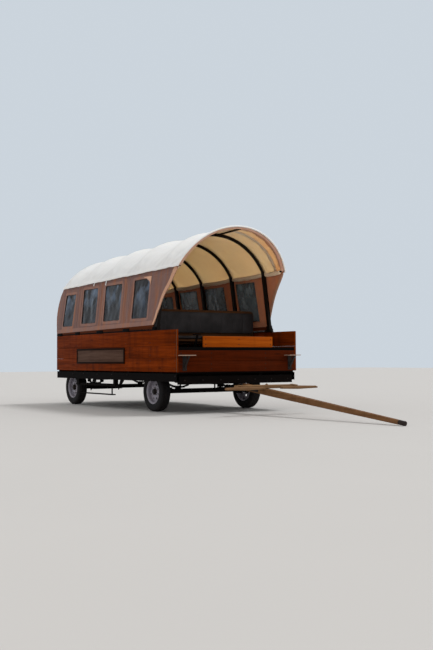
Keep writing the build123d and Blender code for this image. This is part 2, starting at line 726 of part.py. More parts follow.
def pole_irons():
    """The hinge eye with its two straps, and the tip's ferrule."""
    eye = across(0, 0, -47, 47, BOSS_R)
    neck = block(10, 60, -45, 45, -28, 28)
    straps = [block(56, 460, side * 45, side * 53, -28, 28) for side in (-1, 1)]
    ferrule = rod((3300, 0, 0), (POLE_LENGTH, 0, 0), POLE_TIP_R)
    fork = fuse([eye, neck] + straps) - across(0, 0, -60, 60, PIN_R + RUNNING)
    return [fork, ferrule]


def evener():
    """The doubletree on the pole's king bolt, with a jaw at each end."""
    outline = [(-42, -110), (-30, -EVENER_HALF), (30, -EVENER_HALF), (42, -110),
               (42, 110), (30, EVENER_HALF), (-30, EVENER_HALF), (-42, 110)]
    beam = plan(outline, 52, 96)
    pieces = [beam, upright(0, 0, -15, 118, 10), upright(0, 0, 96, 108, 22)]
    for y in (-SINGLE_Y, SINGLE_Y):
        for z0, z1 in ((46, 52), (96, 102)):
            pieces.append(block(-30, SINGLE_S + 18, y - 24, y + 24, z0, z1))
        pieces.append(upright(SINGLE_S, y, 46, 102, 8))
    return [Pos(EVENER_S, 0, 0) * fuse(pieces)]


def singletree(side):
    """A tapered bar on its centre clip, with a trace hook at each end."""
    tab = block(-16, 40, -20, 20, 56, 92) - upright(0, 0, 50, 100, 8 + RUNNING)
    pieces = [tab]
    for way in (-1, 1):
        half = Solid.make_cone(26, 17, 330, Plane(origin=(62, 0, 74), z_dir=(0, way, 0)))
        hook = upright(62, way * 318, 66, 82, 22)
        pieces += [half, hook]
    bar_piece = fuse(pieces)
    for way in (-1, 1):
        eye = upright(92, way * 318, 64, 84, 16) - upright(92, way * 318, 60, 90, 8)
        bar_piece = bar_piece + eye
    return [Pos(EVENER_S + SINGLE_S, side * SINGLE_Y, 0) * bar_piece]


def add(name, solids):
    parts[name] = solids if isinstance(solids, list) else [solids]


add("main_rails", main_rails())
add("side_rails", side_rails())
add("cross_members", cross_members())
add("floor_deck", floor_deck())
add("side_walls", side_walls())
add("front_wall", front_wall())
add("front_rail", front_rail())
add("rear_wall", rear_wall())
add("gate_hinges", gate_hinges())
add("rear_gate", rear_gate())
add("top_rails", top_rails())
add("cap_strips", cap_strips())
add("hoop_legs", hoop_legs())
for number, (station, rise) in enumerate(zip(HOOP_U, HOOP_RISE), 1):
    add(f"hoop_arch_{number}", hoop_arch(station, rise))
add("front_bow", front_bow())
add("canopy_top", canopy_top())
add("side_curtains", side_curtains())
add("window_panes", window_panes())
add("rear_curtain", rear_curtain())
add("bench_frames", bench_frames())
add("bench_cushions", bench_cushions())
add("driver_seat", driver_seat())
add("driver_cushions", driver_cushions())
add("front_steps", front_steps())
add("side_steps", side_steps())
add("rear_steps", rear_steps())
add("sign_boards", sign_boards())
add("brake_lever", brake_lever())
add("front_axle", front_axle())
add("rear_axle", rear_axle())
add("springs", springs())
right_knuckle = knuckle_right()
add("knuckle_right", right_knuckle)
add("knuckle_left", mirror(right_knuckle, about=Plane.XZ))
add("tie_rod_right", tie_rod(-1, (320.0, 346.0)))
add("tie_rod_left", tie_rod(1, (380.0, 406.0)))
add("steer_yoke", steer_yoke())
for name, u, side in WHEELS:
    add(f"tyre_{name}", place_wheel(tyre(), u, side))
    add(f"wheel_{name}", place_wheel(wheel_disc(), u, side))
    add(f"hub_{name}", place_wheel(hub(), u, side))
for name, solids in (("pole", pole()), ("pole_irons", pole_irons()), ("evener", evener()),
                     ("singletree_right", singletree(-1)), ("singletree_left", singletree(1))):
    add(name, [on_pole(solid) for solid in solids])

os.makedirs("parts", exist_ok=True)
for name, solids in parts.items():
    placed = [Pos(FRONT_X, 0, 0) * solid for solid in solids]
    export_step(Compound(children=[s for shape in placed for s in shape.solids()]),
                f"parts/{name}.step")
print("FRONT_X", FRONT_X, "pole drop", degrees(POLE_DROP), "nodes", len(parts))
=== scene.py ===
import logging
from dataclasses import dataclass, field
from enum import Enum
from math import cos, pi, radians, sin
from typing import Sequence

import bpy
import numpy as np
from mathutils import Matrix, Vector


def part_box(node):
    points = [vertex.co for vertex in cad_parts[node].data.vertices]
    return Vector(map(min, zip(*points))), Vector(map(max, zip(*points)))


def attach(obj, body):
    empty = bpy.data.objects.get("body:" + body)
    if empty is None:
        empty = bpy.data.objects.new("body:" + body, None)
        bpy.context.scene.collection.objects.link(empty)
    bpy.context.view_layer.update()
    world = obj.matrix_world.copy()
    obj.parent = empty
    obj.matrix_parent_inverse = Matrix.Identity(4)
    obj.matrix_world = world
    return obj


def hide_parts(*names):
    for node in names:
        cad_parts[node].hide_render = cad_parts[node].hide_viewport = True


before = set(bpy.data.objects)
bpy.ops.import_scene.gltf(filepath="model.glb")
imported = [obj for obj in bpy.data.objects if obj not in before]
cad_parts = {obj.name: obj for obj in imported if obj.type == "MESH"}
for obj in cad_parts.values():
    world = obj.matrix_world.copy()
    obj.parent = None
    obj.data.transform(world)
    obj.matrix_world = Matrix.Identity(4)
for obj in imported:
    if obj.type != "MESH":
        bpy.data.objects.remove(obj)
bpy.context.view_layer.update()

log = logging.getLogger("wagon")

Colour = tuple[float, float, float]
Point = tuple[float, float, float]

# The outer face of the front wall is at u = 0, and u runs forward like x
FRONT_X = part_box("side_walls")[1].x
ALONG, ACROSS, UPWARD = np.eye(3)
# How many sines a ripple is made of
SINES = 9
HOOPS = (-4.210, -3.440, -2.530, -1.570, -0.640)
EAVE_REAR, EAVE_FRONT = (-4.210, 2.125), (-0.130, 2.205)
RAKE = 0.35
AXLES = {"front": -1.020, "rear": -4.000}
# Rear edge, front edge, sill, head, and how far the head lies to the rear of the sill
WINDOWS = ((-4.110, -3.680, 1.410, 1.992, 0.0), (-3.325, -2.755, 1.438, 2.045, 0.036),
           (-2.460, -1.862, 1.450, 2.055, 0.036), (-1.445, -0.940, 1.452, 2.075, 0.036))


class Side(Enum):
    """The wagon's right side is at negative y."""

    RIGHT = -1
    LEFT = 1

    @property
    def word(self) -> str:
        """The side's name as it ends a piece's name."""
        return self.name.lower()

    @property
    def out(self) -> np.ndarray:
        """The direction away from the wagon's middle."""
        return self.value * ACROSS


class Grain(Enum):
    """What a timber finish takes as the direction along its grain."""

    UV = "the piece's own map"
    X = 0
    Y = 1
    Z = 2


def paint(red: int, green: int, blue: int) -> Colour:
    """A colour written as on a screen, from 0 to 255, as linear light."""
    share = np.array((red, green, blue)) / 255
    return tuple(float(v) for v in np.where(share > 0.04045, ((share + 0.055) / 1.055) ** 2.4, share / 12.92))


def eave(u: np.ndarray | float) -> np.ndarray | float:
    """The height of the canopy's spring line, a straight line that rises to the front."""
    return np.interp(u, (EAVE_REAR[0], EAVE_FRONT[0]), (EAVE_REAR[1], EAVE_FRONT[1]))


def ripples(a: np.ndarray, b: np.ndarray, seed: int, waves: tuple[float, float]) -> np.ndarray:
    """Soft uneven waves from -1 to 1 over two lengths in metres: a sum of sines of seeded directions.

    Args:
        a: First length of each point.
        b: Second length of each point.
        seed: Seed of the random directions and phases.
        waves: Shortest and longest wavelength in metres.

    Returns:
        One value for each point.
    """
    rng = np.random.default_rng(seed)
    heading, phase = rng.uniform(0, 2 * pi, (2, SINES))
    length = rng.uniform(*waves, SINES)
    angle = 2 * pi * (a[..., None] * np.cos(heading) + b[..., None] * np.sin(heading)) / length + phase
    return np.sin(angle).sum(-1) / SINES ** 0.5 / 1.5


def unit(rows: np.ndarray) -> np.ndarray:
    """Rows scaled to length one."""
    return rows / np.maximum(np.linalg.norm(rows, axis=-1, keepdims=True), 1e-12)


def rounded(width: float, height: float, radius: float, steps: int = 3) -> np.ndarray:
    """A rectangle with quarter-circle corners, as a closed loop that runs anticlockwise.

    Args:
        width: Size along the first axis.
        height: Size along the second axis.
        radius: Radius of the corners.
        steps: Points on each corner.

    Returns:
        Points of the loop, two numbers each.
    """
    radius = min(radius, width / 2 - 1e-5, height / 2 - 1e-5)
    angles = np.linspace(0, pi / 2, steps)
    quarter = np.stack([np.cos(angles), np.sin(angles)], -1) * radius
    centre = np.array((width / 2 - radius, height / 2 - radius))
    turns = [(1, 1, False), (-1, 1, True), (-1, -1, False), (1, -1, True)]
    corners = [((quarter + centre) * (sx, sy))[::-1 if back else 1] for sx, sy, back in turns]
    return np.concatenate(corners)


def circle(radius: float, sides: int) -> np.ndarray:
    """A closed loop of points on a circle."""
    angles = np.linspace(0, 2 * pi, sides, endpoint=False)
    return np.stack([np.cos(angles), np.sin(angles)], -1) * radius


def spaced(loop: np.ndarray, count: int) -> np.ndarray:
    """Points at even steps round a closed loop, each on the straight line between two of its points.

    Args:
        loop: Points of the loop, two numbers each.
        count: Number of new points.

    Returns:
        The new points.
    """
    whole = np.concatenate([loop, loop[:1]])
    length = np.r_[0, np.linalg.norm(np.diff(whole, axis=0), axis=1).cumsum()]
    steps = np.linspace(0, length[-1], count, endpoint=False)
    return np.stack([np.interp(steps, length, whole[:, axis]) for axis in (0, 1)], -1)


@dataclass
class Skin:
    """The points, faces and map of one piece while it is put together."""

    name: str
    points: list[np.ndarray] = field(default_factory=list)
    loops: list[np.ndarray] = field(default_factory=list)
    totals: list[np.ndarray] = field(default_factory=list)
    maps: list[np.ndarray] = field(default_factory=list)
    slots: list[np.ndarray] = field(default_factory=list)
    count: int = 0

    def _faces(self, quads: np.ndarray, uv: np.ndarray, slot: int | np.ndarray) -> None:
        """Take in faces that all have one number of corners.

        Args:
            quads: Numbers of the corners, one row for each face.
            uv: Map of each corner.
            slot: Number of the finish, or one for each face.
        """
        self.loops.append(quads.reshape(-1) + self.count)
        self.totals.append(np.full(len(quads), quads.shape[1]))
        self.maps.append(uv.reshape(-1, 2))
        self.slots.append(np.broadcast_to(slot, len(quads)))

    def patch(self, grid: np.ndarray, uv: np.ndarray | None = None, wrap: tuple[bool, bool] = (False, False),
              keep: np.ndarray | None = None, slot: int | np.ndarray = 0, outward: bool = False) -> None:
        """Add a surface given as a grid of points; its face is to the side of (step j) x (step i).

        Args:
            grid: Points, rows by columns by 3.
            uv: Map in metres, with one row or column more where the grid wraps.
            wrap: Whether the rows and the columns close on themselves.
            keep: Mask of the cells that are made.
            slot: Number of the finish, or one for each cell.
            outward: Turn the surface so that it faces away from its own middle.
        """
        n, m = grid.shape[:2]
        rows, columns = n - (not wrap[0]), m - (not wrap[1])
        i, j = np.meshgrid(np.arange(rows), np.arange(columns), indexing="ij")
        if keep is not None:
            i, j = i[keep], j[keep]
        i, j = i.ravel(), j.ravel()
        slot = np.broadcast_to(slot, (rows, columns))[i, j]
        if uv is None:
            uv = self._lengths(grid, wrap)
        corners = [(i, j), (i, j + 1), (i + 1, j + 1), (i + 1, j)]
        quads = np.stack([(a % n) * m + b % m for a, b in corners], -1)
        mapped = np.stack([uv[a, b] for a, b in corners], 1)
        flat = grid.reshape(-1, 3)
        if outward:
            p = flat[quads]
            normal = np.cross(p[:, 2] - p[:, 0], p[:, 3] - p[:, 1])
            if ((p.mean(1) - flat.mean(0)) * normal).sum() < 0:
                quads, mapped = quads[:, ::-1], mapped[:, ::-1]
        self._faces(quads, mapped, slot)
        self.points.append(flat)
        self.count += len(flat)

    @staticmethod
    def _lengths(grid: np.ndarray, wrap: tuple[bool, bool]) -> np.ndarray:
        """A map in metres: the longest steps from row to row added up, and those from column to column.

        Args:
            grid: Points, rows by columns by 3.
            wrap: Whether the rows and the columns close on themselves.

        Returns:
            The map, with one row or column more where the grid wraps.
        """
        rows = np.concatenate([grid, grid[:1]]) if wrap[0] else grid
        whole = np.concatenate([rows, rows[:, :1]], 1) if wrap[1] else rows
        down = np.linalg.norm(np.diff(whole, axis=0), axis=-1).max(1).cumsum()
        over = np.linalg.norm(np.diff(whole, axis=1), axis=-1).max(0).cumsum()
        u, v = np.meshgrid(np.r_[0, down], np.r_[0, over], indexing="ij")
        return np.stack([u, v], -1)

    def cap(self, ring: np.ndarray, away: np.ndarray, slot: int = 0) -> None:
        """Close a flat ring of points with one face.

        Args:
            ring: Points of the ring.
            away: Direction that the face looks along.
            slot: Number of the finish.
        """
        centre = ring.mean(0)
        turned = np.cross(ring - centre, np.roll(ring, -1, 0) - centre).sum(0)
        order = np.arange(len(ring)) if turned @ away > 0 else np.arange(len(ring))[::-1]
        side = unit(ring[0] - centre)
        up = np.cross(unit(away), side)
        uv = np.stack([(ring - centre) @ side, (ring - centre) @ up], -1)
        self._faces(order[None], uv[order][None], slot)
        self.points.append(ring)
        self.count += len(ring)

    def sweep(self, path: np.ndarray, across: np.ndarray, up: np.ndarray, profile: np.ndarray,
              closed: bool = False, shift: float = 0.0, slot: int = 0) -> None:
        """Carry a closed profile along a path: point = path + across * first + up * second.

        Args:
            path: Points of the path.
            across: Direction of the profile's first axis at each point, or one for all.
            up: Direction of the profile's second axis at each point, or one for all.
            profile: Loop of the profile, or one loop for each point of the path.
            closed: Whether the path closes on itself, so that it needs no caps.
            shift: Added to the map, so that no two boards show the same grain.
            slot: Number of the finish.
        """
        n = len(path)
        across, up = (np.broadcast_to(d, (n, 3)) for d in (across, up))
        loop = np.broadcast_to(profile, (n,) + profile.shape[-2:])
        grid = path[:, None] + across[:, None] * loop[..., :1] + up[:, None] * loop[..., 1:]
        uv = self._lengths(grid, (closed, True)) + (shift, 0.37 * shift)
        self.patch(grid, uv, (closed, True), slot=slot, outward=True)
        if not closed:
            self.cap(grid[0], path[0] - path[1], slot)
            self.cap(grid[-1], path[-1] - path[-2], slot)

    def bar(self, start: Point, end: Point, width: float, height: float, bevel: float,
            across: np.ndarray = ACROSS, shift: float = 0.0) -> None:
        """A straight bar with rounded edges: its profile shrinks by the bevel at both ends.

        Args:
            start: Middle of one end.
            end: Middle of the other end.
            width: Size along across.
            height: Size at right angles to across and the bar.
            bevel: Radius of the edges.
            across: Direction of the width.
            shift: Added to the map.
        """
        a, b = np.array(start, float), np.array(end, float)
        way, length = unit(b - a), np.linalg.norm(b - a)
        side = unit(across - way * (way @ across))
        soft = 0.3 * bevel
        inset = np.array((bevel, soft, 0, 0, soft, bevel))
        stations = np.array((0, soft, bevel, length - bevel, length - soft, length))
        loops = np.stack([rounded(width - 2 * d, height - 2 * d, max(bevel - d, soft)) for d in inset])
        self.sweep(a + way * stations[:, None], side, np.cross(way, side), loops, shift=shift)

    def tube(self, path: np.ndarray, radius: float, plane: np.ndarray, sides: int,
             closed: bool = False) -> None:
        """A round tube along a path that lies near one plane.

        Args:
            path: Points of the path.
            radius: Radius of the tube.
            plane: Normal of the plane.
            sides: Points round the tube.
            closed: Whether the path closes on itself.
        """
        way = np.roll(path, -1, 0) - np.roll(path, 1, 0) if closed else np.gradient(path, axis=0)
        across = unit(np.cross(np.broadcast_to(plane, path.shape), way))
        self.sweep(path, across, unit(np.cross(way, across)), circle(radius, sides), closed)

    def studs(self, places: np.ndarray, ways: np.ndarray, radius: float, height: float,
              sides: int = 6) -> None:
        """Bolt or rivet heads: a low domed prism at each place, standing along its way.

        Args:
            places: Foot of each head.
            ways: Direction of each head, or one for all.
            radius: Radius of the heads.
            height: Height of the heads.
            sides: Sides of the prism.
        """
        places = np.atleast_2d(places)
        ways = np.broadcast_to(unit(np.atleast_2d(ways)), places.shape)
        hint = np.where(np.abs(ways[:, 2:]) > 0.9, ALONG, UPWARD)
        side = unit(np.cross(hint, ways))
        up = np.cross(ways, side)
        ring = circle(radius, sides)
        # Each ring's share of the radius, and its share of the height
        rings = ((1, -0.1), (1, 0.7), (0.8, 1.0), (0.02, 1.1))
        rows = [places[:, None] + share * (side[:, None] * ring[:, :1] + up[:, None] * ring[:, 1:])
                + ways[:, None] * (lift * height) for share, lift in rings]
        for grid in np.stack(rows, 1):
            self.patch(grid, wrap=(False, True), outward=True)

    def build(self, finishes: Sequence[bpy.types.Material], body: str = "wagon", slot: str = "",
              stands_for: Sequence[str] = (), sharp: float = 38.0) -> bpy.types.Object:
        """Make the mesh and its object, dress it and let it ride.

        Args:
            finishes: Materials in the order of the slots' numbers.
            body: CAD body that the piece rides on.
            slot: The record's material slot; not used.
            stands_for: CAD nodes that the piece replaces.
            sharp: Angle in degrees past which an edge is sharp.

        Returns:
            The new object.
        """
        mesh = bpy.data.meshes.new(self.name)
        points, loops = np.concatenate(self.points), np.concatenate(self.loops)
        totals = np.concatenate(self.totals)
        mesh.vertices.add(len(points))
        mesh.vertices.foreach_set("co", points.astype(np.float32).ravel())
        mesh.loops.add(len(loops))
        mesh.loops.foreach_set("vertex_index", loops.astype(np.int32))
        mesh.polygons.add(len(totals))
        mesh.polygons.foreach_set("loop_start", np.r_[0, totals.cumsum()[:-1]].astype(np.int32))
        mesh.polygons.foreach_set("material_index", np.concatenate(self.slots).astype(np.int32))
        mesh.update(calc_edges=True)
        mesh.validate()
        layer = mesh.uv_layers.new(name="metres")
        layer.data.foreach_set("uv", np.concatenate(self.maps).astype(np.float32).ravel())
        mesh.polygons.foreach_set("use_smooth", np.ones(len(totals), bool))
        mesh.set_sharp_from_angle(angle=radians(sharp))
        piece = bpy.data.objects.new(self.name, mesh)
        bpy.context.scene.collection.objects.link(piece)
        for finish in finishes:
            mesh.materials.append(finish)
        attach(piece, body)
        if stands_for:
            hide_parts(*stands_for)
        log.info("%s: %d faces on %s", self.name, len(totals), body)
        return piece


def thicken(piece: bpy.types.Object, thickness: float, inner: int = 0) -> None:
    """Give a sheet its thickness inwards from the side that it faces.

    Args:
        piece: The sheet.
        thickness: Thickness in metres.
        inner: How many slots further on the inner face's finish is.
    """
    shell = piece.modifiers.new("thickness", "SOLIDIFY")
    shell.thickness = thickness
    shell.offset = -1
    shell.material_offset = inner


class Graph:
    """A node tree with short ways to add and join its nodes."""

    def __init__(self, tree: bpy.types.NodeTree) -> None:
        """Keep the tree that the nodes go into."""
        self.tree = tree

    def add(self, kind: str, inputs: dict | None = None, **settings: object) -> bpy.types.Node:
        """Add a node of the kind, set its properties, and set or link its inputs.

        Args:
            kind: Node type without its common prefix.
            inputs: Value or socket for each input, by name or number.
            settings: The node's own properties.

        Returns:
            The node.
        """
        node = self.tree.nodes.new("ShaderNode" + kind)
        for key, value in settings.items():
            setattr(node, key, value)
        for key, value in (inputs or {}).items():
            socket = node.inputs[key]
            if isinstance(value, bpy.types.NodeSocket):
                self.tree.links.new(value, socket)
            elif isinstance(value, tuple) and socket.type == "RGBA":
                socket.default_value = (*value[:3], 1.0)
            else:
                socket.default_value = value
        return node

    def mix(self, share: object, first: object, second: object) -> bpy.types.NodeSocket:
        """Mix two colours.

        Args:
            share: Share of the second colour.
            first: First colour, or its socket.
            second: Second colour, or its socket.

        Returns:
            The mixed colour.
        """
        node = self.add("Mix", data_type="RGBA")
        for index, value in ((0, share), (6, first), (7, second)):
            if isinstance(value, bpy.types.NodeSocket):
                self.tree.links.new(value, node.inputs[index])
            elif index:
                node.inputs[index].default_value = (*value[:3], 1.0)
            else:
                node.inputs[index].default_value = value
        return node.outputs[2]

    def math(self, operation: str, first: object, second: object = 0.0, clamp: bool = False
             ) -> bpy.types.NodeSocket:
        """One step of arithmetic."""
        return self.add("Math", {0: first, 1: second}, operation=operation, use_clamp=clamp).outputs[0]

    def noise(self, vector: bpy.types.NodeSocket, scale: float, detail: float = 4.0,
              roughness: float = 0.55) -> bpy.types.NodeSocket:
        """Cloudy noise from about 0.3 to 0.7."""
        inputs = {"Vector": vector, "Scale": scale, "Detail": detail, "Roughness": roughness}
        return self.add("TexNoise", inputs).outputs["Fac"]

    def span(self, value: object, low: float, high: float, to: tuple[float, float] = (0.0, 1.0)
             ) -> bpy.types.NodeSocket:
        """Bring low to high to a new range, clamped."""
        inputs = {"Value": value, "From Min": low, "From Max": high, "To Min": to[0], "To Max": to[1]}
        return self.add("MapRange", inputs).outputs[0]

    def stretch(self, vector: bpy.types.NodeSocket, scale: Point) -> bpy.types.NodeSocket:
        """Scale a coordinate along each axis."""
        return self.add("Mapping", {"Vector": vector, "Scale": scale}).outputs[0]

    def height(self, vector: bpy.types.NodeSocket) -> bpy.types.NodeSocket:
        """The height in a coordinate."""
        return self.add("SeparateXYZ", {0: vector}).outputs[2]

    def bump(self, height: bpy.types.NodeSocket, strength: float, distance: float, **over: object
             ) -> bpy.types.NodeSocket:
        """A normal from a height, laid over the one given as Normal if there is one."""
        inputs = {"Height": height, "Strength": strength, "Distance": distance, **over}
        return self.add("Bump", inputs).outputs[0]

    def group(self, group: bpy.types.NodeTree, inputs: dict) -> bpy.types.Node:
        """Add a group node, then set its inputs, which exist once it has its tree.

        Args:
            group: The group.
            inputs: Value or socket of each input.

        Returns:
            The node.
        """
        node = self.tree.nodes.new("ShaderNodeGroup")
        node.node_tree = group
        for key, value in inputs.items():
            if isinstance(value, bpy.types.NodeSocket):
                self.tree.links.new(value, node.inputs[key])
            else:
                node.inputs[key].default_value = (*value, 1.0) if isinstance(value, tuple) else value
        return node


def new_group(name: str, inputs: dict[str, str], outputs: dict[str, str]) -> tuple[Graph, dict, dict]:
    """Start a shader node group.

    Args:
        name: The group's name.
        inputs: Kind of each input: Float, Vector or Color.
        outputs: Kind of each output.

    Returns:
        The graph, the sockets that bring its inputs in, and those that take its outputs.
    """
    tree = bpy.data.node_groups.new(name, "ShaderNodeTree")
    for direction, sockets in (("INPUT", inputs), ("OUTPUT", outputs)):
        for socket, kind in sockets.items():
            tree.interface.new_socket(name=socket, in_out=direction, socket_type="NodeSocket" + kind)
    entry, end = tree.nodes.new("NodeGroupInput"), tree.nodes.new("NodeGroupOutput")
    return Graph(tree), {s: entry.outputs[s] for s in inputs}, {s: end.inputs[s] for s in outputs}


class Effects:
    """The shader node groups that several finishes share, each built once."""

    def __init__(self) -> None:
        """Build every group."""
        self.timber = self._timber()
        self.weave = self._weave()
        self.grime = self._grime()
        self.scuffs = self._scuffs()

    @staticmethod
    def _timber() -> bpy.types.NodeTree:
        """Long fibres, broad figure, a few knots and water stains across the boards.

        Returns:
            The group.
        """
        inputs = {"Along": "Vector", "Dark": "Color", "Light": "Color", "Stain": "Float"}
        outputs = {"Color": "Color", "Height": "Float", "Roughness": "Float"}
        g, i, o = new_group("timber", inputs, outputs)
        fibre = g.noise(g.stretch(i["Along"], (3.0, 120.0, 120.0)), 1.0, 6.0, 0.65)
        warp = g.noise(g.stretch(i["Along"], (0.8, 3.0, 3.0)), 1.0, 2.0)
        shifted = g.add("VectorMath", {0: g.stretch(i["Along"], (0.7, 17.0, 17.0)), 1: warp},
                        operation="ADD").outputs[0]
        figure = g.noise(shifted, 1.0, 5.0, 0.6)
        cells = g.stretch(i["Along"], (1.7, 7.0, 7.0))
        knots = g.add("TexVoronoi", {"Vector": cells, "Scale": 1.0}).outputs[0]
        knot = g.span(knots, 0.03, 0.13, (1.0, 0.0))
        share = g.math("ADD", g.math("MULTIPLY", g.span(fibre, 0.3, 0.7), 0.4),
                       g.math("MULTIPLY", g.span(figure, 0.33, 0.67), 0.6))
        colour = g.mix(share, i["Dark"], i["Light"])
        colour = g.mix(g.math("MULTIPLY", knot, 0.75), colour, i["Dark"])
        runs = g.noise(g.stretch(i["Along"], (6.0, 0.7, 0.7)), 1.0, 6.0, 0.65)
        stain = g.math("MULTIPLY", g.span(runs, 0.48, 0.68), i["Stain"])
        colour = g.mix(stain, colour, g.mix(0.5, i["Dark"], (0.02, 0.008, 0.003)))
        for socket, value in (("Color", colour), ("Height", g.math("SUBTRACT", share, knot)),
                              ("Roughness", g.span(share, 0.0, 1.0, (0.72, 0.55)))):
            g.tree.links.new(value, o[socket])
        return g.tree

    @staticmethod
    def _weave() -> bpy.types.NodeTree:
        """Over-and-under threads of a plain weave, from the piece's map in metres.

        Returns:
            The group.
        """
        g, i, o = new_group("weave", {"Map": "Vector", "Threads": "Float"}, {"Height": "Float"})
        scaled = g.add("VectorMath", {0: i["Map"], "Scale": i["Threads"]}, operation="SCALE").outputs[0]
        waves = [g.add("TexWave", {"Vector": scaled, "Scale": 1.0, "Distortion": 0.4, "Detail": 1.0},
                       bands_direction=axis).outputs["Fac"] for axis in ("X", "Y")]
        g.tree.links.new(g.math("MAXIMUM", *waves), o["Height"])
        return g.tree

    @staticmethod
    def _grime() -> bpy.types.NodeTree:
        """Road dust that thins out with height, in uneven patches.

        Returns:
            The group.
        """
        inputs = {"Place": "Vector", "Top": "Float", "Amount": "Float"}
        g, i, o = new_group("grime", inputs, {"Mask": "Float"})
        low = g.math("SUBTRACT", 1.0, g.math("DIVIDE", g.height(i["Place"]), i["Top"]), clamp=True)
        cloud = g.span(g.noise(i["Place"], 7.0, 6.0, 0.62), 0.35, 0.7)
        mask = g.math("MULTIPLY", g.math("MULTIPLY", low, g.math("ADD", cloud, 0.35)), i["Amount"])
        g.tree.links.new(g.math("MINIMUM", mask, 0.95), o["Mask"])
        return g.tree

    @staticmethod
    def _scuffs() -> bpy.types.NodeTree:
        """Small rubs and fine scratches, as a mask.

        Returns:
            The group.
        """
        g, i, o = new_group("scuffs", {"Place": "Vector", "Amount": "Float"}, {"Mask": "Float"})
        rubs = g.span(g.noise(i["Place"], 24.0, 7.0, 0.7), 0.6, 0.74)
        lines = g.span(g.noise(g.stretch(i["Place"], (6.0, 160.0, 90.0)), 1.0, 3.0), 0.66, 0.72)
        both = g.math("MAXIMUM", rubs, g.math("MULTIPLY", lines, 0.6))
        g.tree.links.new(g.math("MULTIPLY", both, i["Amount"]), o["Mask"])
        return g.tree


EFFECTS = Effects()


def begin(name: str) -> tuple[bpy.types.Material, Graph, bpy.types.Node, bpy.types.NodeSocket]:
    """Start a material.

    Args:
        name: The finish's name.

    Returns:
        The material, its graph, its Principled shader and the object's coordinates.
    """
    material = bpy.data.materials.new(name)
    material.use_nodes = True
    graph = Graph(material.node_tree)
    shader = material.node_tree.nodes["Principled BSDF"]
    return material, graph, shader, graph.add("TexCoord").outputs["Object"]


def feed(graph: Graph, shader: bpy.types.Node, **inputs: object) -> None:
    """Set or link the shader's inputs.

    Args:
        graph: The material's graph.
        shader: Its Principled shader.
        inputs: Value or socket of each input; an underscore in a name stands for a blank.
    """
    for name, value in inputs.items():
        socket = shader.inputs[name.replace("_", " ")]
        if isinstance(value, bpy.types.NodeSocket):
            graph.tree.links.new(value, socket)
        else:
            socket.default_value = (*value, 1.0) if isinstance(value, tuple) else value


@dataclass(frozen=True)
class Timber:
    """Stained boards with their grain along the piece."""

    name: str
    dark: Colour
    light: Colour
    grain: Grain = Grain.UV
    stain: float = 0.35
    dust: float = 0.04
    shine: float = 0.025

    def make(self) -> bpy.types.Material:
        """Build the material.

        Returns:
            The material.
        """
        material, g, shader, place = begin(self.name)
        if self.grain is Grain.UV:
            along = g.add("UVMap", uv_map="metres").outputs[0]
        else:
            axes = g.add("SeparateXYZ", {0: place}).outputs
            order = [(self.grain.value + step) % 3 for step in range(3)]
            along = g.add("CombineXYZ", {k: axes[a] for k, a in enumerate(order)}).outputs[0]
        wood = g.group(EFFECTS.timber, {"Along": along, "Dark": self.dark, "Light": self.light,
                                         "Stain": self.stain})
        dust = g.group(EFFECTS.grime, {"Place": place, "Top": 1.1, "Amount": self.dust}).outputs[0]
        colour = g.mix(dust, wood.outputs["Color"], DUST)
        feed(g, shader, Base_Color=colour, Roughness=wood.outputs["Roughness"],
             Normal=g.bump(wood.outputs["Height"], 0.35, 0.0012), Specular_IOR_Level=self.shine)
        return material


@dataclass(frozen=True)
class Canvas:
    """Woven cotton duck, with uneven fading and soft grime, painted shade in the hollows of its weave and,
    where given, upright streaks of painted light that shines through it.
    """

    name: str
    colour: Colour
    shade: Colour
    cloudiness: float = 0.5
    threads: float = 700.0
    sheen: float = 0.15
    see_through: float = 0.55
    light_through_streak: Colour | None = None

    def make(self) -> bpy.types.Material:
        """Build the material.

        Returns:
            The material.
        """
        material, g, shader, place = begin(self.name)
        mapped = g.add("UVMap", uv_map="metres").outputs[0]
        broad = g.span(g.noise(place, 1.7, 5.0, 0.6), 0.36, 0.66)
        fine = g.span(g.noise(place, 14.0, 6.0, 0.65), 0.35, 0.7)
        share = g.math("MULTIPLY", g.math("ADD", g.math("MULTIPLY", broad, 0.7),
                                          g.math("MULTIPLY", fine, 0.3)), self.cloudiness)
        weave = g.group(EFFECTS.weave, {"Map": mapped, "Threads": self.threads}).outputs[0]
        colour = g.mix(share, self.colour, self.shade)
        if self.light_through_streak:
            # Painted light: upright orange streaks where sunlight shines through the cloth
            runs = g.noise(g.stretch(place, (7.0, 7.0, 0.5)), 1.0, 4.0, 0.6)
            colour = g.mix(g.span(runs, 0.47, 0.64, (0.0, 0.75)), colour, self.light_through_streak)
        # Painted shade: the hollows between the threads are darkened towards the shade colour
        colour = g.mix(g.math("MULTIPLY", g.math("SUBTRACT", 1.0, weave), 0.10), colour, self.shade)
        soft = g.bump(g.noise(place, 9.0, 4.0), 0.25, 0.008)
        feed(g, shader, Base_Color=colour, Roughness=0.9, Normal=g.bump(weave, 0.3, 0.0006, Normal=soft),
             Sheen_Weight=self.sheen, Sheen_Roughness=0.5, Specular_IOR_Level=0.1,
             Subsurface_Weight=self.see_through, Subsurface_Scale=0.02)
        shader.inputs["Subsurface Radius"].default_value = (1.0, 0.9, 0.8)
        return material


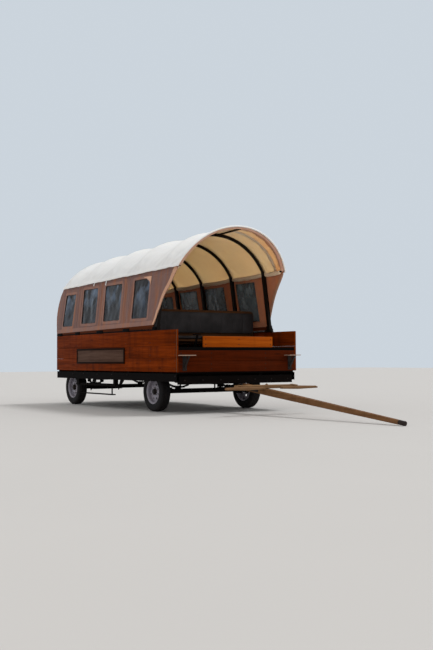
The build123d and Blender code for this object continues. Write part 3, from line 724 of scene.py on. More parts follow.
@dataclass(frozen=True)
class Steel:
    """Painted steel with rubs, road dust near the ground and a slight orange peel."""

    name: str
    colour: Colour
    roughness: float = 0.45
    wear: float = 0.35
    dust: float = 0.5
    bare: Colour = (0.16, 0.11, 0.08)
    metallic: float = 0.0
    shine: float = 0.2
    dark_below: float = 0.0

    def make(self) -> bpy.types.Material:
        """Build the material.

        Returns:
            The material.
        """
        material, g, shader, place = begin(self.name)
        scuff = g.group(EFFECTS.scuffs, {"Place": place, "Amount": self.wear}).outputs[0]
        dust = g.group(EFFECTS.grime, {"Place": place, "Top": 0.95, "Amount": self.dust}).outputs[0]
        tone = g.span(g.noise(place, 3.0, 4.0), 0.35, 0.65)
        colour = g.mix(g.math("MULTIPLY", tone, 0.35), self.colour, tuple(0.55 * c for c in self.colour))
        if self.dark_below:
            low = g.span(g.height(place), self.dark_below - 0.002, self.dark_below, (1.0, 0.0))
            colour = g.mix(low, colour, (0.010, 0.009, 0.009))
        colour = g.mix(scuff, colour, self.bare)
        colour = g.mix(dust, colour, DUST)
        rough = g.math("ADD", self.roughness, g.math("MULTIPLY", g.math("ADD", dust, scuff), 0.4), clamp=True)
        peel = g.bump(g.noise(place, 160.0, 2.0), 0.12, 0.0008)
        feed(g, shader, Base_Color=colour, Roughness=rough, Normal=peel, Metallic=self.metallic,
             Specular_IOR_Level=self.shine)
        return material


@dataclass(frozen=True)
class Rubber:
    """Tyre rubber, greyed and dusty in its grooves."""

    name: str = "tyre rubber"
    colour: Colour = (0.005, 0.005, 0.006)

    def make(self) -> bpy.types.Material:
        """Build the material.

        Returns:
            The material.
        """
        material, g, shader, place = begin(self.name)
        dust = g.group(EFFECTS.grime, {"Place": place, "Top": 0.9, "Amount": 0.025}).outputs[0]
        feed(g, shader, Base_Color=g.mix(dust, self.colour, DUST), Roughness=0.82,
             Normal=g.bump(g.noise(place, 220.0, 3.0), 0.2, 0.0007), Specular_IOR_Level=0.3)
        return material


@dataclass(frozen=True)
class ClearVinyl:
    """Clear flexible sheet whose colour is painted light and shade: a painted dark ground with painted light
    patches that gather towards its top, and soft creases.
    """

    name: str
    painted_dark_ground: Colour
    painted_light_patches: Colour
    cover: tuple[float, float]

    def make(self) -> bpy.types.Material:
        """Build the material.

        Returns:
            The material.
        """
        material, g, shader, place = begin(self.name)
        cloud = g.noise(g.stretch(place, (1.6, 1.6, 1.0)), 3.2, 3.0, 0.55)
        # Painted light: the light patches grow towards the top of the sheet
        height = g.span(g.height(place), 1.6, 2.02)
        share = g.math("MULTIPLY", g.span(cloud, 0.44, 0.62), g.math("ADD", 0.15, height), clamp=True)
        colour = g.mix(share, self.painted_dark_ground, self.painted_light_patches)
        feed(g, shader, Base_Color=colour, Alpha=g.span(share, 0.0, 0.8, self.cover), Roughness=0.16,
             Normal=g.bump(g.noise(place, 5.0, 3.0), 0.5, 0.02), Specular_IOR_Level=0.18)
        return material


@dataclass(frozen=True)
class Leathercloth:
    """Dark seat covering with a fine grain."""

    name: str = "seat covering"
    colour: Colour = (0.016, 0.013, 0.013)

    def make(self) -> bpy.types.Material:
        """Build the material.

        Returns:
            The material.
        """
        material, g, shader, place = begin(self.name)
        cells = g.add("TexVoronoi", {"Vector": place, "Scale": 330.0}).outputs[0]
        worn = g.span(g.noise(place, 4.0, 5.0), 0.4, 0.7)
        colour = g.mix(worn, self.colour, tuple(1.9 * c for c in self.colour))
        feed(g, shader, Base_Color=colour, Roughness=g.span(worn, 0.0, 1.0, (0.62, 0.42)),
             Normal=g.bump(cells, 0.25, 0.0008), Specular_IOR_Level=0.2)
        return material


DUST = paint(150, 104, 78)
# Each duck's colour, its shade, and how cloudy it is
WHITE_DUCK = Canvas("white duck", paint(252, 252, 250), paint(231, 231, 228), 0.55, see_through=0.8).make()
WHITE_HEM = Canvas("doubled white hem", paint(246, 245, 243), paint(230, 229, 226), 0.4).make()
TAN_LINING = Canvas("tan lining", paint(246, 204, 168), paint(228, 182, 144), 0.5, see_through=0.9).make()
TAN_DUCK = Canvas("tan duck", paint(128, 98, 92), paint(108, 80, 76), 0.8, see_through=0.1,
                  light_through_streak=paint(148, 92, 60)).make()
TAN_INSIDE = Canvas("tan duck, lit through", paint(212, 144, 110), paint(178, 110, 80), 0.7, see_through=0.1,
                    light_through_streak=paint(216, 132, 82)).make()
TAN_PALE = Canvas("pale tan binding", paint(208, 160, 132), paint(186, 134, 106), 0.5, see_through=0.2).make()
FLAP_PEACH = Canvas("peach flap", paint(226, 174, 146), paint(200, 144, 114), 0.5, see_through=0.2).make()
TAN_BAND = Canvas("sewn tan band", paint(148, 112, 102), paint(128, 92, 82), 0.6, see_through=0.1,
                  light_through_streak=paint(164, 106, 74)).make()
ROSE_SLEEVE = Canvas("rose sleeve", paint(222, 180, 156), paint(194, 140, 116), 0.8, see_through=0.2).make()
ROSE_LINING = Canvas("rose lining", paint(250, 198, 156), paint(232, 164, 122), 0.8, see_through=0.9).make()
ROSE_RUFFLE = Canvas("rose ruffle", paint(244, 180, 140), paint(206, 128, 96), 0.8, see_through=0.4).make()
# A lighter copy of the rose lining: painted highlight on the frill
RUFFLE_HIGHLIGHT = Canvas("ruffle, painted highlight", paint(255, 226, 190), paint(240, 190, 150), 0.6, see_through=0.4).make()
# A lit copy of the tan lining: painted light on the rolls, which the cloth above keeps in shade
ROLL_LINING_LIT = Canvas("lining roll, painted light", paint(255, 230, 196), paint(244, 208, 170), 0.5, see_through=0.15).make()
TAN_DARK = Canvas("dark tan seam", paint(84, 60, 54), paint(66, 46, 40), 0.5, see_through=0.1).make()
# Each timber's dark and light fibres
BOX_WOOD = Timber("box boards", paint(66, 18, 0), paint(142, 56, 2), stain=0.55, dust=0.02).make()
# A sunlit copy of the box boards: painted sunlight on the front's top board
FRONT_WOOD_SUNLIT = Timber("front board", paint(126, 50, 5), paint(186, 92, 18), stain=0.2, dust=0.02).make()
# A shaded copy of the box boards: painted shade on the cap strips under the curtains
CAP_WOOD_SHADED = Timber("cap strips", paint(62, 28, 12), paint(98, 44, 18), stain=0.3, dust=0.02).make()
# A shaded copy of the box boards: painted shade on the lower front boards
LOW_WOOD_SHADED = Timber("lower front boards", paint(46, 11, 0), paint(92, 31, 3), stain=0.3, dust=0.02).make()
DECK_WOOD = Timber("deck planks", paint(60, 42, 28), paint(120, 92, 64), Grain.X, stain=0.5, dust=0.3).make()
SEAT_WOOD = Timber("seat boards", paint(50, 30, 18), paint(96, 62, 36), Grain.X, stain=0.3).make()
SEAT_WOOD_ACROSS = Timber("driver's seat boards", paint(50, 30, 18), paint(96, 62, 36), Grain.Y,
                          stain=0.3).make()
POLE_WOOD = Timber("pole ash", paint(64, 44, 28), paint(128, 94, 60), Grain.X, stain=0.3, dust=0.3).make()
TREE_WOOD = Timber("evener ash", paint(90, 68, 48), paint(150, 120, 86), Grain.Y, stain=0.3, dust=0.3).make()
SIGN_FRAME = Timber("sign frame", paint(22, 10, 6), paint(44, 23, 14), stain=0.2, dust=0.02).make()
SIGN_PANEL = Timber("sign panel", paint(70, 50, 42), paint(104, 80, 68), stain=0.2).make()
CHASSIS_BLACK = Steel("chassis black", (0.003, 0.0024, 0.0024), roughness=0.65, wear=0.06, dust=0.015,
                      bare=(0.02, 0.013, 0.01), shine=0.03).make()
HOOP_BROWN = Steel("hoop brown", (0.009, 0.005, 0.003), roughness=0.55, wear=0.12, dust=0.0,
                   bare=(0.04, 0.028, 0.022), shine=0.1).make()
IRON = Steel("forged iron", (0.014, 0.013, 0.013), roughness=0.55, wear=0.35, dust=0.10,
             bare=(0.07, 0.055, 0.045), metallic=0.3).make()
WHEEL_WHITE = Steel("wheel paint", paint(156, 155, 168), roughness=0.45, wear=0.10, dust=0.2,
                    bare=(0.16, 0.15, 0.15)).make()
STEP_GREY = Steel("step steel", paint(178, 150, 132), roughness=0.5, wear=0.5, dust=0.2,
                  bare=(0.12, 0.1, 0.09), metallic=0.2, dark_below=0.860).make()
# The corner trim's pale colour is partly a painted highlight on the corner's edge
CORNER_TIN = Steel("corner trim", paint(104, 68, 44), roughness=0.6, wear=0.3, dust=0.2).make()
ZINC = Steel("zinc fasteners", (0.13, 0.125, 0.12), roughness=0.5, wear=0.4, dust=0.3,
             bare=(0.15, 0.1, 0.07), metallic=0.7).make()
TYRE_RUBBER = Rubber().make()
# Outer faces: a near-black painted shade of the dim inside, with painted sky reflections towards the top
VINYL = ClearVinyl("clear vinyl", painted_dark_ground=(0.009, 0.007, 0.007), painted_light_patches=(0.12, 0.165, 0.24),
                   cover=(0.965, 0.98)).make()
# Inner faces: painted light shining through from outside
VINYL_INSIDE = ClearVinyl("clear vinyl, lit through", painted_dark_ground=(0.14, 0.17, 0.17), painted_light_patches=(0.34, 0.42, 0.44),
                          cover=(0.55, 0.75)).make()
SEAT_COVER = Leathercloth().make()


def bands(*counts: int) -> np.ndarray:
    """Steps from 0 upwards, with a number of cells between each whole number and the next."""
    return np.r_[0, np.concatenate([np.linspace(k, k + 1, n + 1)[1:] for k, n in enumerate(counts)])]


def x_at(u: float | np.ndarray) -> float | np.ndarray:
    """The x of a place given from the front wall."""
    return u + FRONT_X


def at(u: float | np.ndarray, y: float | np.ndarray, z: float | np.ndarray) -> np.ndarray:
    """Points from their places along the wagon, across it and above the ground."""
    return np.stack(np.broadcast_arrays(x_at(u), y, z), -1)


def belly_line(z: np.ndarray, a: tuple, b: tuple, c: tuple) -> np.ndarray:
    """The rear half of the circle through three points.

    Args:
        z: Heights.
        a: First point, as u and height.
        b: Second point.
        c: Third point.

    Returns:
        The u at each height.
    """
    points = np.array((a, b, c), float)
    system = np.c_[2 * points, np.ones(3)]
    cu, cz, k = np.linalg.solve(system, (points ** 2).sum(1))
    radius = np.sqrt(k + cu ** 2 + cz ** 2)
    return cu - np.sqrt(np.maximum(radius ** 2 - (z - cz) ** 2, 0))


@dataclass
class Canopy:
    """The white top over its hoops, its hems, its sleeved front bow and the rolls inside the eaves."""

    rear: float = -4.264
    front: float = -0.130
    half: float = 1.0
    rises: tuple = (0.560, 0.584, 0.600, 0.615, 0.617)
    rear_dip: float = 0.008
    front_rise: float = 0.620
    hem: float = 0.014
    sag: float = 0.034
    front_sag: float = 0.016
    cloth: float = 0.004
    bow_u: float = -0.155
    bow_half: float = 0.944
    bow_rise: float = 0.599
    sleeve: float = 0.018
    lining_end: float = -0.370
    bay_steps: int = 28
    arc_steps: int = 120
    pull: float = 0.0060
    billow: float = 0.0048
    crease: float = 0.0018
    half_arc: float = 1.24
    hem_band: tuple[float, float] = (0.045, 0.0090)
    hem_facing: tuple[float, float] = (0.896, 0.445)
    hoop_seam: tuple[float, float] = (0.030, 0.0022)
    rim: float = 0.0125
    crown_strut: float = 0.015
    eave_strut: float = 0.012
    ruffles: tuple = ((0.044, 0.046), (0.196, 0.050))
    ruffle_cloth: float = 0.002
    roll: tuple[float, float] = (0.025, 0.033)
    roll_gap: float = 0.030
    strap: tuple[float, float] = (0.034, 0.003)
    straps_hung: tuple = ((-2.490, 0.085), (-2.945, 0.058))

    def arc(self, u: np.ndarray | float, a: np.ndarray, half: float, rise: np.ndarray | float,
            rake: np.ndarray | float, out: np.ndarray | float = 0.0) -> np.ndarray:
        """A circular arc in a plane that leans forward, for |a| up to 1, then straight down.

        Args:
            u: Place of the spring line along the wagon.
            a: -1 at the right eave, 0 at the crown, 1 at the left eave.
            half: Half of the span.
            rise: Height of the crown above the spring line.
            rake: Lean forward for each metre of height.
            out: Distance outwards from the arc.

        Returns:
            Points, three numbers each.
        """
        lean = np.sqrt(1 + np.square(rake))
        tall = rise * lean
        radius = (half ** 2 + tall ** 2) / (2 * tall)
        angle = np.clip(a, -1, 1) * np.arcsin(half / radius)
        below = np.clip(np.abs(a) - 1, 0, None) * self.half
        y = (radius + out) * np.sin(angle)
        z = eave(u) + (tall - radius + (radius + out) * np.cos(angle)) / lean - below
        return at(u + rake * (z - eave(u)), y, z)

    def crown(self, u: np.ndarray) -> np.ndarray:
        """The crown's rise: straight from support to support, less a parabola's sag in each bay.

        Args:
            u: Places along the wagon.

        Returns:
            Height of the crown above the spring line.
        """
        ends = np.array((self.rear,) + HOOPS + (self.front,))
        rises = np.array((self.rises[0] - self.rear_dip,) + self.rises + (self.front_rise,))
        depth = np.array((0.002,) + (self.sag,) * (len(HOOPS) - 1) + (self.front_sag,))
        bay = np.clip(np.searchsorted(ends, u, side="right") - 1, 0, len(depth) - 1)
        share = (u - ends[bay]) / (ends[bay + 1] - ends[bay])
        return np.interp(u, ends, rises) - depth[bay] * 4 * share * (1 - share)

    def section(self, u: np.ndarray, a: np.ndarray, out: np.ndarray | float = 0.0) -> np.ndarray:
        """Points of the sheet, whose arcs lean forward from the first hoop to the front edge."""
        rake = RAKE * np.clip((u - HOOPS[-1]) / (self.front - HOOPS[-1]), 0, 1)
        return self.arc(u, a, self.half, self.crown(u), rake, out)

    def stations(self) -> np.ndarray:
        """Places along the wagon, spaced as a cosine in each bay: closer together near each support.

        Returns:
            The places, from rear to front.
        """
        ends = (self.rear,) + HOOPS + (self.front,)
        share = (1 - np.cos(np.linspace(0, pi, self.bay_steps + 1))) / 2
        spans = [a + (b - a) * share[:-1] for a, b in zip(ends, ends[1:])]
        return np.r_[np.concatenate(spans), self.front]

    def wrinkles(self, u: np.ndarray, a: np.ndarray) -> np.ndarray:
        """Small folds: slanting pulls near each tie at the eaves and faint waves elsewhere.

        Args:
            u: Places along the wagon.
            a: Places on the arc, from -1 to 1.

        Returns:
            Distance outwards from the smooth sheet.
        """
        tie = np.min([np.abs(u - hoop) for hoop in HOOPS + (self.front,)], axis=0)
        near = np.exp(-((1 - np.abs(a)) / 0.30) ** 2) * np.exp(-(tie / 0.33) ** 2)
        slant = np.sin(2 * pi * (tie * 5.0 + (1 - np.abs(a)) * 4.0))
        broad = ripples(u, a * 1.2, 11, (0.35, 0.9))
        fine = ripples(u * 0.6, a * 1.2, 12, (0.14, 0.3))
        free = np.clip(tie / 0.12, 0, 1)
        return free * (self.pull * near * slant + self.billow * broad + self.crease * fine)

    def hem_wave(self, u: np.ndarray) -> np.ndarray:
        """How far the lower edge strays from a straight line."""
        return 0.0022 * ripples(u, 0 * u, 13, (0.3, 0.9)) + 0.0012 * ripples(u, 0 * u, 14, (0.08, 0.2))

    def top(self) -> None:
        """The white sheet, with tan on its inner face and rose in front of the ruffle."""
        hem = 1 + np.array((0.5, 1.0)) * self.hem / self.half
        arc = np.r_[-hem[::-1], np.linspace(-1, 1, self.arc_steps), hem]
        u, a = np.meshgrid(self.stations(), arc, indexing="ij")
        grid = self.section(u, a, self.wrinkles(u, a))
        grid[..., 2] += self.hem_wave(u) * np.clip((np.abs(a) - 0.97) / 0.03, 0, 1)
        rose = 2 * (u[1:, 1:] > self.lining_end)
        skin = Skin("canopy_white_top")
        skin.patch(grid[::-1], np.stack([u, a * self.half_arc], -1)[::-1], slot=rose[::-1])
        piece = skin.build([WHITE_DUCK, TAN_LINING, WHITE_DUCK, ROSE_LINING], slot="canvas_white",
                           stands_for=["canopy_top"])
        thicken(piece, self.cloth, 1)

    def seams(self) -> None:
        """A doubled hem band along each lower edge, and a doubled seam over each hoop."""
        skin = Skin("canopy_seams")
        u = np.linspace(self.rear + 0.004, self.front - 0.004, 300)
        level, rise = self.hem_facing
        for side in Side:
            a = np.full_like(u, side.value * (1 - 0.004))
            path = self.section(u, a, self.wrinkles(u, a) + 0.0018)
            path[:, 2] += self.hem_wave(u)
            out, down = unit(level * side.out + rise * UPWARD), unit(rise * side.out - level * UPWARD)
            skin.sweep(path, down, out, rounded(*self.hem_band, 0.0042, 4), slot=1)
        a = np.linspace(-0.975, 0.975, 120)
        for hoop in HOOPS:
            places = np.full_like(a, hoop)
            path = self.section(places, a, self.wrinkles(places, a) + 0.0006)
            outward = unit(self.section(places, a, 0.01) - self.section(places, a))
            skin.sweep(path, ALONG, outward, rounded(*self.hoop_seam, 0.001, 2))
        skin.build([WHITE_DUCK, WHITE_HEM], slot="canvas_white")

    def bow(self) -> None:
        """The front bow in its cloth sleeve, the top's rolled front edge and the bow's three struts.

        The sleeve's section is an ellipse from just inside the bow to just under the top.
        """
        a = np.linspace(-1, 1, 160)
        inner = self.arc(self.bow_u, a, self.bow_half, self.bow_rise, RAKE)
        over = self.arc(self.bow_u, a, self.half, self.front_rise, RAKE, -0.003)
        gap = np.linalg.norm(over - inner, axis=1, keepdims=True)
        way = unit(over - inner)
        path = inner + way * (gap - self.sleeve) / 2
        crease = 1 + 0.10 * ripples(np.arange(len(path)) * 0.016, np.zeros(len(path)), 15, (0.05, 0.25))
        close = np.clip((1.004 - np.abs(a)) / 0.02, 0.25, 1) ** 0.5
        loops = circle(1.0, 18) * np.stack([(gap[:, 0] + self.sleeve) / 2 * close,
                                            (self.sleeve + 0.001) * crease * close], -1)[:, None]
        skin = Skin("front_bow_sleeve")
        skin.sweep(path, way, np.array((1, 0, -RAKE)) / np.hypot(1, RAKE), loops)
        skin.build([ROSE_SLEEVE], slot="canvas_tan", stands_for=["front_bow"])
        rim = Skin("canopy_front_rim")
        arc = np.linspace(-1 - self.hem / self.half, 1 + self.hem / self.half, 170)
        rim.tube(self.section(np.full_like(arc, self.front - 0.001), arc, -0.001), self.rim, ALONG, 12)
        rim.build([WHITE_HEM], slot="canvas_white")
        struts = Skin("bow_struts")
        back = x_at(HOOPS[-1] + 0.020)
        crown = ((back, 0, eave(HOOPS[-1]) + self.rises[-1] - 0.044),
                 (x_at(self.bow_u + RAKE * self.bow_rise), 0, eave(self.bow_u) + self.bow_rise - 0.013))
        struts.tube(np.linspace(*np.array(crown), 6), self.crown_strut, ACROSS, 16)
        for side in Side:
            y = side.value * self.bow_half
            ends = ((back, y, eave(HOOPS[-1])), (x_at(self.bow_u), y, eave(self.bow_u)))
            struts.tube(np.linspace(*np.array(ends), 6), self.eave_strut, ACROSS, 12)
        struts.build([HOOP_BROWN], slot="hoop_brown", stands_for=["front_bow"])

    def ruffle(self) -> None:
        """Two strips gathered in uneven pleats: the sleeve's turned-in hem, and a frill behind it in a
        lighter finish that is a painted highlight.
        """
        skin = Skin("front_ruffles")
        for number, (behind, wide) in enumerate(self.ruffles):
            a, t = np.meshgrid(np.linspace(-0.985, 0.985, 560), np.linspace(0, 1, 9), indexing="ij")
            phase = 3.5 * ripples(a * 2, 0 * a, 16 + number, (0.15, 0.6)) + 0.6 * t
            pleat = np.abs(np.sin(a * (74 - 12 * number) + phase)) ** 0.7
            swell = np.clip(0.5 + 0.7 * ripples(a * 2, 0 * a, 19 + number, (0.12, 0.5)), 0.1, 1)
            width = wide * (0.75 + 0.35 * swell + 0.15 * pleat)
            depth = 0.006 + (0.004 + 0.008 * swell) * np.sin(pi * t) ** 0.7 + 0.009 * t * pleat
            depth = depth * np.clip(np.abs(a) / 0.05, 0.45, 1)
            grid = self.section(self.front - behind - t * width, a, -depth)
            skin.patch(grid[::-1], np.stack([a * self.half_arc, t * wide], -1)[::-1], slot=number)
        piece = skin.build([ROSE_RUFFLE, RUFFLE_HIGHLIGHT], slot="canvas_tan", stands_for=["canopy_top"], sharp=80)
        thicken(piece, self.ruffle_cloth)

    def rolls(self) -> None:
        """The lining's soft roll inside each eave, hung from hoop to hoop, in a lighter finish that is
        painted light.
        """
        skin = Skin("eave_rolls")
        ends = HOOPS + (self.front - self.roll_gap,)
        for side in Side:
            for number, (a, b) in enumerate(zip(ends, ends[1:])):
                share = np.linspace(0, 1, 60)
                u = a + self.roll_gap + (b - a - 2 * self.roll_gap) * share
                swell = np.clip(np.minimum(share, 1 - share) * 20, 0.5, 1) ** 0.5
                swell = swell * (1 + 0.08 * ripples(u, u * 0, 31 + number, (0.1, 0.35)))
                sag = 0.016 * np.sin(pi * share) + 0.003 * ripples(u, u * 0, 33 + number, (0.1, 0.3))
                path = at(u, side.value * (0.952 - 0.004 * swell), eave(u) - 0.006 - sag)
                loops = circle(1.0, 16) * np.stack([size * swell for size in self.roll], -1)[:, None]
                skin.sweep(path, ACROSS, UPWARD, loops)
        skin.build([ROLL_LINING_LIT], slot="canvas_tan")

    def straps(self) -> None:
        """Short white tie straps that hang from the hem on each side."""
        skin = Skin("tie_straps")
        for side in Side:
            for number, (u, drop) in enumerate(self.straps_hung):
                t = np.linspace(0, 1, 14)
                y = side.value * (0.994 + 0.014 * np.sin(t * 2.6))
                z = eave(u) - self.hem + 0.008 - drop * t
                path = at(u + 0.012 * np.sin(t * 4 + number), y, z)
                skin.sweep(path, ALONG, ACROSS, rounded(*self.strap, 0.0012, 2))
        skin.build([WHITE_DUCK], slot="canvas_white")

    def make(self) -> None:
        """Build every piece of the top."""
        self.top()
        self.seams()
        self.bow()
        self.ruffle()
        self.rolls()
        self.straps()


@dataclass
class SideCurtain:
    """One side's tan sheet between strip and eave, with its windows, borders and front edge."""

    side: Side = Side.RIGHT
    foot: tuple[float, float] = (1.100, 1.290)
    head: tuple[float, float] = (0.978, 2.205)
    foot_line: tuple = ((-4.320, 1.298), (-0.702, 1.338))
    belly: tuple = ((-4.320, 1.298), (-4.435, 1.800), (-4.254, 2.117))
    front_top: tuple[float, float] = (-0.138, 2.197)
    front_hollow: float = 0.050
    cloth: float = 0.004
    lap: float = 0.018
    column_steps: int = 26
    fold: float = 0.0060
    crease: float = 0.0012
    slack: float = 0.0040
    free_below: float = 2.19
    pane: float = 0.0012
    # How far each loop is larger than its window, and the strip's width: the band, then the fold
    borders_sewn: tuple = ((0.042, 0.046), (-0.004, 0.012))
    seam_places: tuple = (-3.53, -3.40, -2.64, -2.52, -1.74, -1.60)
    seam: float = 0.016
    foot_band: float = 0.070
    binding_heights: tuple = (1.34, 1.55, 2.0, 2.2)
    binding_widths: tuple = (0.045, 0.060, 0.080, 0.105)
    inner_binding: float = 0.036
    flap_corner: tuple[float, float] = (-1.160, 2.104)
    flap_tip: tuple[float, float] = (-0.945, 1.962)
    flap_width: float = 0.245
    flap_cloth: float = 0.003

    def y(self, z: np.ndarray) -> np.ndarray:
        """The distance of the sheet's outer face from the middle, by height."""
        share = (z - self.foot[1]) / (self.head[1] - self.foot[1])
        return self.foot[0] + share * (self.head[0] - self.foot[0])

    def bottom(self, u: np.ndarray) -> np.ndarray:
        """The foot line, which rises to the front."""
        (u0, z0), (u1, z1) = self.foot_line
        return z0 + (z1 - z0) * (u - u0) / (u1 - u0)

    def rear(self, z: np.ndarray) -> np.ndarray:
        """The bulged rear edge."""
        return belly_line(z, *self.belly)

    def front(self, z: np.ndarray) -> np.ndarray:
        """The slanted front edge, pulled hollow between its two ends by a power of a sine.

        Args:
            z: Heights.

        Returns:
            The edge's place at each height.
        """
        (u0, z0), (u1, z1) = self.foot_line[1], self.front_top
        share = np.clip((z - z0) / (z1 - z0), 0, 1)
        return u0 + (u1 - u0) * (z - z0) / (z1 - z0) - self.front_hollow * np.sin(pi * share) ** 1.5

    def surface(self, u: np.ndarray, z: np.ndarray, inset: float | np.ndarray = 0.0) -> np.ndarray:
        """Points of the sheet with its folds, which run mostly upright and die out at foot and eave.

        Args:
            u: Place along the wagon.
            z: Height.
            inset: Distance inwards.

        Returns:
            Points, three numbers each.
        """
        grip = np.min([np.abs(u - hoop) for hoop in HOOPS], axis=0)
        below = self.free_below - z
        drop = np.clip(below / 0.25, 0, 1) * np.clip((z - self.bottom(u) - 0.01) / 0.10, 0, 1)
        folds = self.fold * ripples(u, z * 0.22, 41 + self.side.value, (0.16, 0.5)) * drop
        folds += self.crease * ripples(u, z, 44, (0.08, 0.2))
        loose = np.clip((z - 2.03) / 0.06, 0, 1) * np.clip(below / 0.05, 0, 1)
        folds += self.slack * loose * ripples(u * 0.25, z, 45 + self.side.value, (0.035, 0.07))
        taut = np.clip(grip / 0.06, 0.15, 1)
        y = self.y(z) - inset + folds * taut - 0.006 * drop * taut
        return at(u, self.side.value * y, z)

    def sheet(self) -> None:
        """The sheet with its openings: columns follow the windows' edges, rows their sills and heads."""
        edges = np.array([w for window in WINDOWS for w in window[:2]])
        last = len(edges) + 1
        share = np.linspace(0, 1, self.column_steps + 1)
        steps = np.r_[0, (np.arange(last)[:, None] + share[1:]).ravel()]
        levels = bands(14, 36, 18)
        s, b = np.meshgrid(steps, levels, indexing="ij")
        knots, columns = np.arange(last + 1), np.r_[-4.33, edges, -0.42]
        sills, heads, backs = (np.repeat([w[k] for w in WINDOWS], 2) for k in (2, 3, 4))
        sill, head = (np.interp(s, knots[1:-1], row) for row in (sills, heads))
        lean = np.interp(s, knots, np.r_[0, backs, 0]) * np.clip(b - 1, 0, 1)
        u = np.interp(s, knots, columns)
        for _ in range(4):
            lines = np.stack([self.bottom(u), sill, head, eave(u) + 0.004])
            band = np.minimum(b.astype(int), 2)
            low, high = (np.take_along_axis(lines, (band + k)[None], 0)[0] for k in (0, 1))
            z = low + (high - low) * (b - band)
            begin_u, end_u = self.rear(z), self.front(z)
            first, final = edges[0] - lean, edges[-1] - lean
            u = np.where(s <= 1, begin_u + (first - begin_u) * s, np.interp(s, knots, columns) - lean)
            u = np.where(s >= last - 1, final + (end_u - final) * (s - last + 1), u)
        column, row = (steps[:-1] + 0.001).astype(int), (levels[:-1] + 0.001).astype(int)
        keep = ~((column % 2 == 1)[:, None] & (row == 1)[None])
        grid, uv = self.surface(u, z), np.stack([u, z], -1)
        if self.side is Side.RIGHT:
            grid, uv, keep = grid[::-1], uv[::-1], keep[::-1]
        skin = Skin(f"side_curtain_{self.side.word}")
        skin.patch(grid, uv, keep=keep)
        piece = skin.build([TAN_DUCK, TAN_INSIDE], slot="canvas_tan", stands_for=["side_curtains"])
        thicken(piece, self.cloth, 1)

    def panes(self) -> None:
        """Clear sheets behind the openings, a little wavy."""
        skin = Skin(f"clear_windows_{self.side.word}")
        for number, (u0, u1, z0, z1, back) in enumerate(WINDOWS):
            u, z = np.meshgrid(np.linspace(u0 - self.lap, u1 + self.lap, 40),
                               np.linspace(z0 - self.lap, z1 + self.lap, 44), indexing="ij")
            edge = np.minimum(np.minimum(u - u0, u1 - u), np.minimum(z - z0, z1 - z))
            wave = np.clip(edge / 0.05, 0, 1) * 0.004 * ripples(u, z * 0.6, 51 + number, (0.12, 0.4))
            grid = self.surface(u - back * (z - z0) / (z1 - z0), z, 0.0055 - wave)
            skin.patch(grid[::-1] if self.side is Side.RIGHT else grid)
        piece = skin.build([VINYL, VINYL_INSIDE], slot="clear_vinyl", stands_for=["window_panes"])
        thicken(piece, self.pane, 1)

    def strip(self, skin: Skin, u: np.ndarray, z: np.ndarray, width: float | np.ndarray,
              closed: bool = False, lift: float = 0.0022) -> None:
        """Sew a flat strip onto the sheet along a line.

        Args:
            skin: The piece it goes into.
            u: Places of the line.
            z: Heights of the line.
            width: The strip's width, or one for each point.
            closed: Whether the line closes on itself.
            lift: Distance of the strip's middle from the sheet.
        """
        path = self.surface(u, z, -lift)
        way = np.roll(path, -1, 0) - np.roll(path, 1, 0) if closed else np.gradient(path, axis=0)
        out = unit(self.side.out + 0.14 * UPWARD)
        profile = np.stack([rounded(w, 0.0038, 0.0016, 2) for w in np.broadcast_to(width, len(path))])
        skin.sweep(path, unit(np.cross(way, out)), out, profile, closed)

    def borders(self) -> None:
        """A sewn band round each window, and the dark fold of the sheet's cut edge inside it."""
        band, fold = Skin(f"window_borders_{self.side.word}"), Skin(f"window_folds_{self.side.word}")
        for u0, u1, z0, z1, back in WINDOWS:
            for skin, (grow, width) in zip((band, fold), self.borders_sewn):
                line = spaced(rounded(u1 - u0 + grow, z1 - z0 + grow, 0.035, 8), 200)
                z = (z0 + z1) / 2 + line[:, 1]
                u = (u0 + u1) / 2 + line[:, 0] - back * (z - z0) / (z1 - z0)
                self.strip(skin, u, z, width, True)
        band.build([TAN_BAND], slot="canvas_tan")
        fold.build([TAN_DARK], slot="canvas_tan")

    def seams(self) -> None:
        """Raised seams at the hoops, the foot's hem band and the bound front edge, wider to its top."""
        skin = Skin(f"curtain_seams_{self.side.word}")
        for u in self.seam_places:
            z = np.linspace(float(self.bottom(np.array(u))) + 0.014, float(eave(u)) - 0.03, 70)
            self.strip(skin, u - 0.036 * (z - 1.35) / 0.75, z, self.seam)
        skin.build([TAN_BAND], slot="canvas_tan")
        foot = Skin(f"curtain_foot_{self.side.word}")
        u = np.linspace(-4.312, -0.735, 320)
        self.strip(foot, u, self.bottom(u) + 0.031, self.foot_band, lift=0.0030)
        foot.build([TAN_BAND], slot="canvas_tan")
        edge = Skin(f"curtain_front_binding_{self.side.word}")
        z = np.linspace(1.342, 2.192, 110)
        width = np.interp(z, self.binding_heights, self.binding_widths)
        self.strip(edge, self.front(z) - width / 2 / 0.84 + 0.002, z, width, lift=0.0035)
        self.strip(edge, self.front(z) - 0.020, z, self.inner_binding, lift=-0.0058)
        edge.build([TAN_PALE], slot="canvas_tan")

    def flap(self) -> None:
        """The turned-back corner over the front window: a folded triangle that points down."""
        a, b = np.meshgrid(np.linspace(0, 1, 20), np.linspace(0, 1, 16), indexing="ij")
        (rear, head), (tip_u, tip_z) = self.flap_corner, self.flap_tip
        fold = rear + self.flap_width * a
        u = fold + (tip_u - fold) * b * (0.25 + 0.75 * b)
        z = head + (tip_z - head) * b * (0.35 + 0.65 * a)
        grid = self.surface(u, z, -0.010 - 0.007 * np.sin(pi * a) * np.sin(pi * b))
        skin = Skin(f"window_flap_{self.side.word}")
        skin.patch(grid if self.side is Side.RIGHT else grid[::-1])
        piece = skin.build([FLAP_PEACH], slot="canvas_tan")
        thicken(piece, self.flap_cloth)

    def make(self) -> None:
        """Build the sheet and everything that is sewn to it."""
        self.sheet()
        self.panes()
        self.borders()
        self.seams()
        self.flap()


